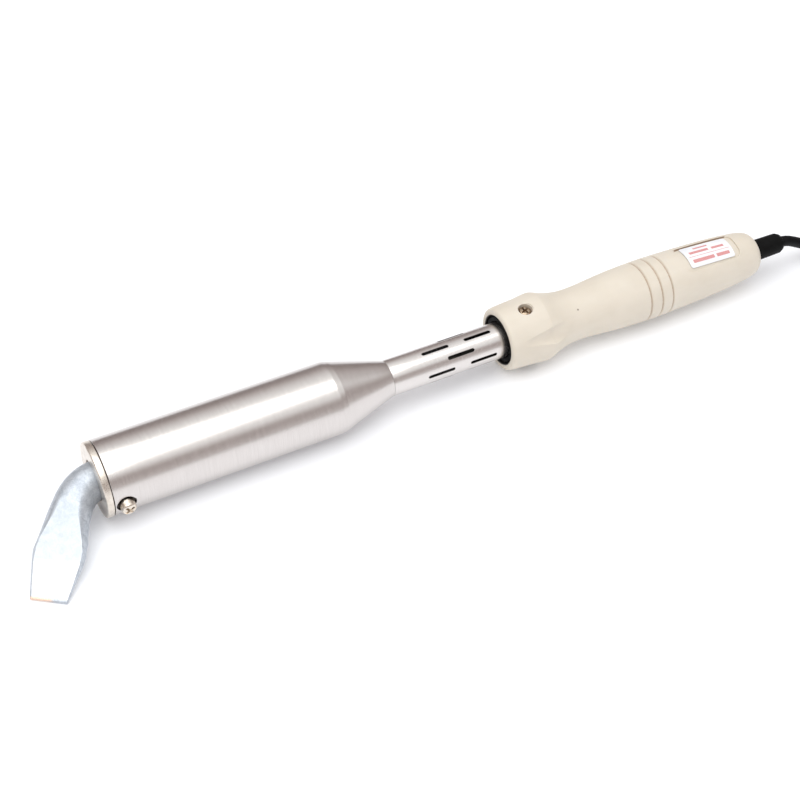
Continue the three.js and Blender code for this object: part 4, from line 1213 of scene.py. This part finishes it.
def blade_mesh(name, y, node):
    px, cz = 580 + 46 + 0.3, FLOOR + 11.0 + 3.2
    line = fillet([(0, -3.15), (17.4, -3.15, 2.2), (17.4, 3.15, 2.2), (0, 3.15)], 8)
    n = len(line)
    verts, faces = [], []
    for h, k in ((-0.75, 0.25), (-0.5, 0.0), (0.5, 0.0), (0.75, 0.25)):
        for u, v in line:
            s = 1 - k / 3.15
            verts.append((px + (u if u < 0.01 else u - k * (u / 17.4)), y + h, cz + v * s))
    for k in range(3):
        for i in range(n):
            j = (i + 1) % n
            faces.append((k * n + i, k * n + j, (k + 1) * n + j, (k + 1) * n + i))
    faces.append(tuple(range(n)))
    faces.append(tuple(range(3 * n, 4 * n))[::-1])
    o = mesh_object(name, verts, faces, smooth=30)
    hole = spin("hole", [(-3, 0), (-3, 1.5), (3, 1.5), (3, 0)], 40, at=(px + 13.2, y, cz), direction=(0, 1, 0))
    cut(o, hole)
    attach(o, "root")
    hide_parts(node)
    give(o, MAT["brass"])
    return o


b1 = blade_mesh("blade_live", 2.5 - 6.35, "plug_blade_live")
b2 = blade_mesh("blade_neutral", 2.5 + 6.35, "plug_blade_neutral")
pin_prof = [(626.3, 0), (626.3, 2.4)] + [(643.2, 2.4)] + [(643.3 + 2.4 * math.sin(q), 0.9 + 1.5 * math.cos(q)) for q in np.linspace(0.1, math.pi / 2, 8)] + [(645.7, 0)]
pin = spin("ground_pin", pin_prof, 48, at=(0, 2.5, FLOOR + 11.0 - 6.4))
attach(pin, "root")
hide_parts("plug_ground_pin")
give(pin, MAT["brass"])

# ------------------------------------------------------------------ finer materials on the CAD nodes that stay
KEEP = {
    "core_tube": "core_steel", "front_ceramic_ring": "ceramic", "mica_inner": "mica", "heating_winding": "wire", "mica_outer": "mica",
    "fibre_insulation": "fibre", "rear_ceramic_disc": "ceramic", "lead_live": "wire", "lead_neutral": "wire", "ceramic_beads_live": "beads",
    "ceramic_beads_neutral": "beads", "terminal_block": "ceramic", "terminal_screw_live": "brass", "terminal_screw_earth": "brass",
    "terminal_screw_neutral": "brass", "earth_wire": "earth", "cord_core_live": "live", "cord_core_neutral": "neutral", "cord_core_earth": "earth",
    "cord_inside": "rubber", "cord_stop_tie": "nylon",
}
for node, key in KEEP.items():
    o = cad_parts[node]
    if not o.data.materials:
        o.data.materials.append(MAT[key])
    for s in o.material_slots:
        s.material = MAT[key]

# ------------------------------------------------------------------ floor, light
floor_me = bpy.data.meshes.new("floor")
F = 4.0
floor_me.from_pydata([(-F, -F, 0), (F, -F, 0), (F, F, 0), (-F, F, 0)], [], [(0, 1, 2, 3)])
floor = link(bpy.data.objects.new("floor", floor_me))
n = Nodes("floor_paper")
f = n.noise(n.mm, 0.02, 3, 0.5)
n.set(Base_Color=n.mix(n.span(f, 0.3, 0.7), (0.872, 0.885, 0.91), (0.885, 0.898, 0.922)), Roughness=0.9, Specular_IOR_Level=0.1, Emission_Color=n.mix(n.span(f, 0.3, 0.7), (0.93, 0.965, 1.0), (0.94, 0.97, 1.0)), Emission_Strength=0.13)
give(floor, n.m)


def area(name, loc, target, size, size_y, power, color=(1, 1, 1)):
    d = bpy.data.lights.new(name, "AREA")
    d.shape = "RECTANGLE"
    d.size, d.size_y, d.energy, d.color = size, size_y, power, color
    o = link(bpy.data.objects.new(name, d))
    o.location = loc
    o.rotation_euler = (Vector(target) - Vector(loc)).to_track_quat("-Z", "Y").to_euler()
    return o


area("softbox_top", (-0.40, -0.25, 1.6), (-0.30, -0.15, 0), 1.9, 1.8, 18)

world = bpy.data.worlds.new("studio")
bpy.context.scene.world = world
world.use_nodes = True
wt = world.node_tree
wt.nodes.clear()
wo = wt.nodes.new("ShaderNodeOutputWorld")
bg = wt.nodes.new("ShaderNodeBackground")
tc = wt.nodes.new("ShaderNodeTexCoord")
sx = wt.nodes.new("ShaderNodeSeparateXYZ")
wt.links.new(tc.outputs["Generated"], sx.inputs[0])


def tent(stops):
    """Brightness of the tent by height; the dark bands are a little pink."""
    rp = wt.nodes.new("ShaderNodeValToRGB")
    el = rp.color_ramp.elements
    while len(el) < len(stops):
        el.new(0.5)
    for e_, (pos, v) in zip(el, stops):
        k = min(max((0.9 - v) / 0.5, 0), 1)
        e_.position = pos
        e_.color = (v, v * (1 - 0.14 * k), v * (1 - 0.17 * k), 1)
    wt.links.new(sx.outputs["Z"], rp.inputs[0])
    return rp.outputs[0]


front = tent([(0.0, 0.64), (0.14, 0.66), (0.26, 0.58), (0.36, 0.50), (0.46, 0.47), (0.55, 0.72), (0.64, 1.05), (1.0, 1.1)])
back = tent([(0.0, 0.28), (0.30, 0.36), (0.52, 0.56), (0.72, 0.82), (0.87, 1.05), (1.0, 1.1)])
mr = wt.nodes.new("ShaderNodeMapRange")
mr.inputs["From Min"].default_value, mr.inputs["From Max"].default_value = -0.15, 0.15
wt.links.new(sx.outputs["Y"], mr.inputs["Value"])
mx = wt.nodes.new("ShaderNodeMix")
mx.data_type = "RGBA"
wt.links.new(mr.outputs[0], mx.inputs[0])
wt.links.new(front, mx.inputs[6])
wt.links.new(back, mx.inputs[7])
wt.links.new(mx.outputs[2], bg.inputs[0])
bg.inputs[1].default_value = 0.98
wt.links.new(bg.outputs[0], wo.inputs[0])

sc = bpy.context.scene
sc.view_settings.view_transform = "Standard"
sc.view_settings.look = "None"
sc.view_settings.exposure = 0.0
sc.view_settings.gamma = 1.0
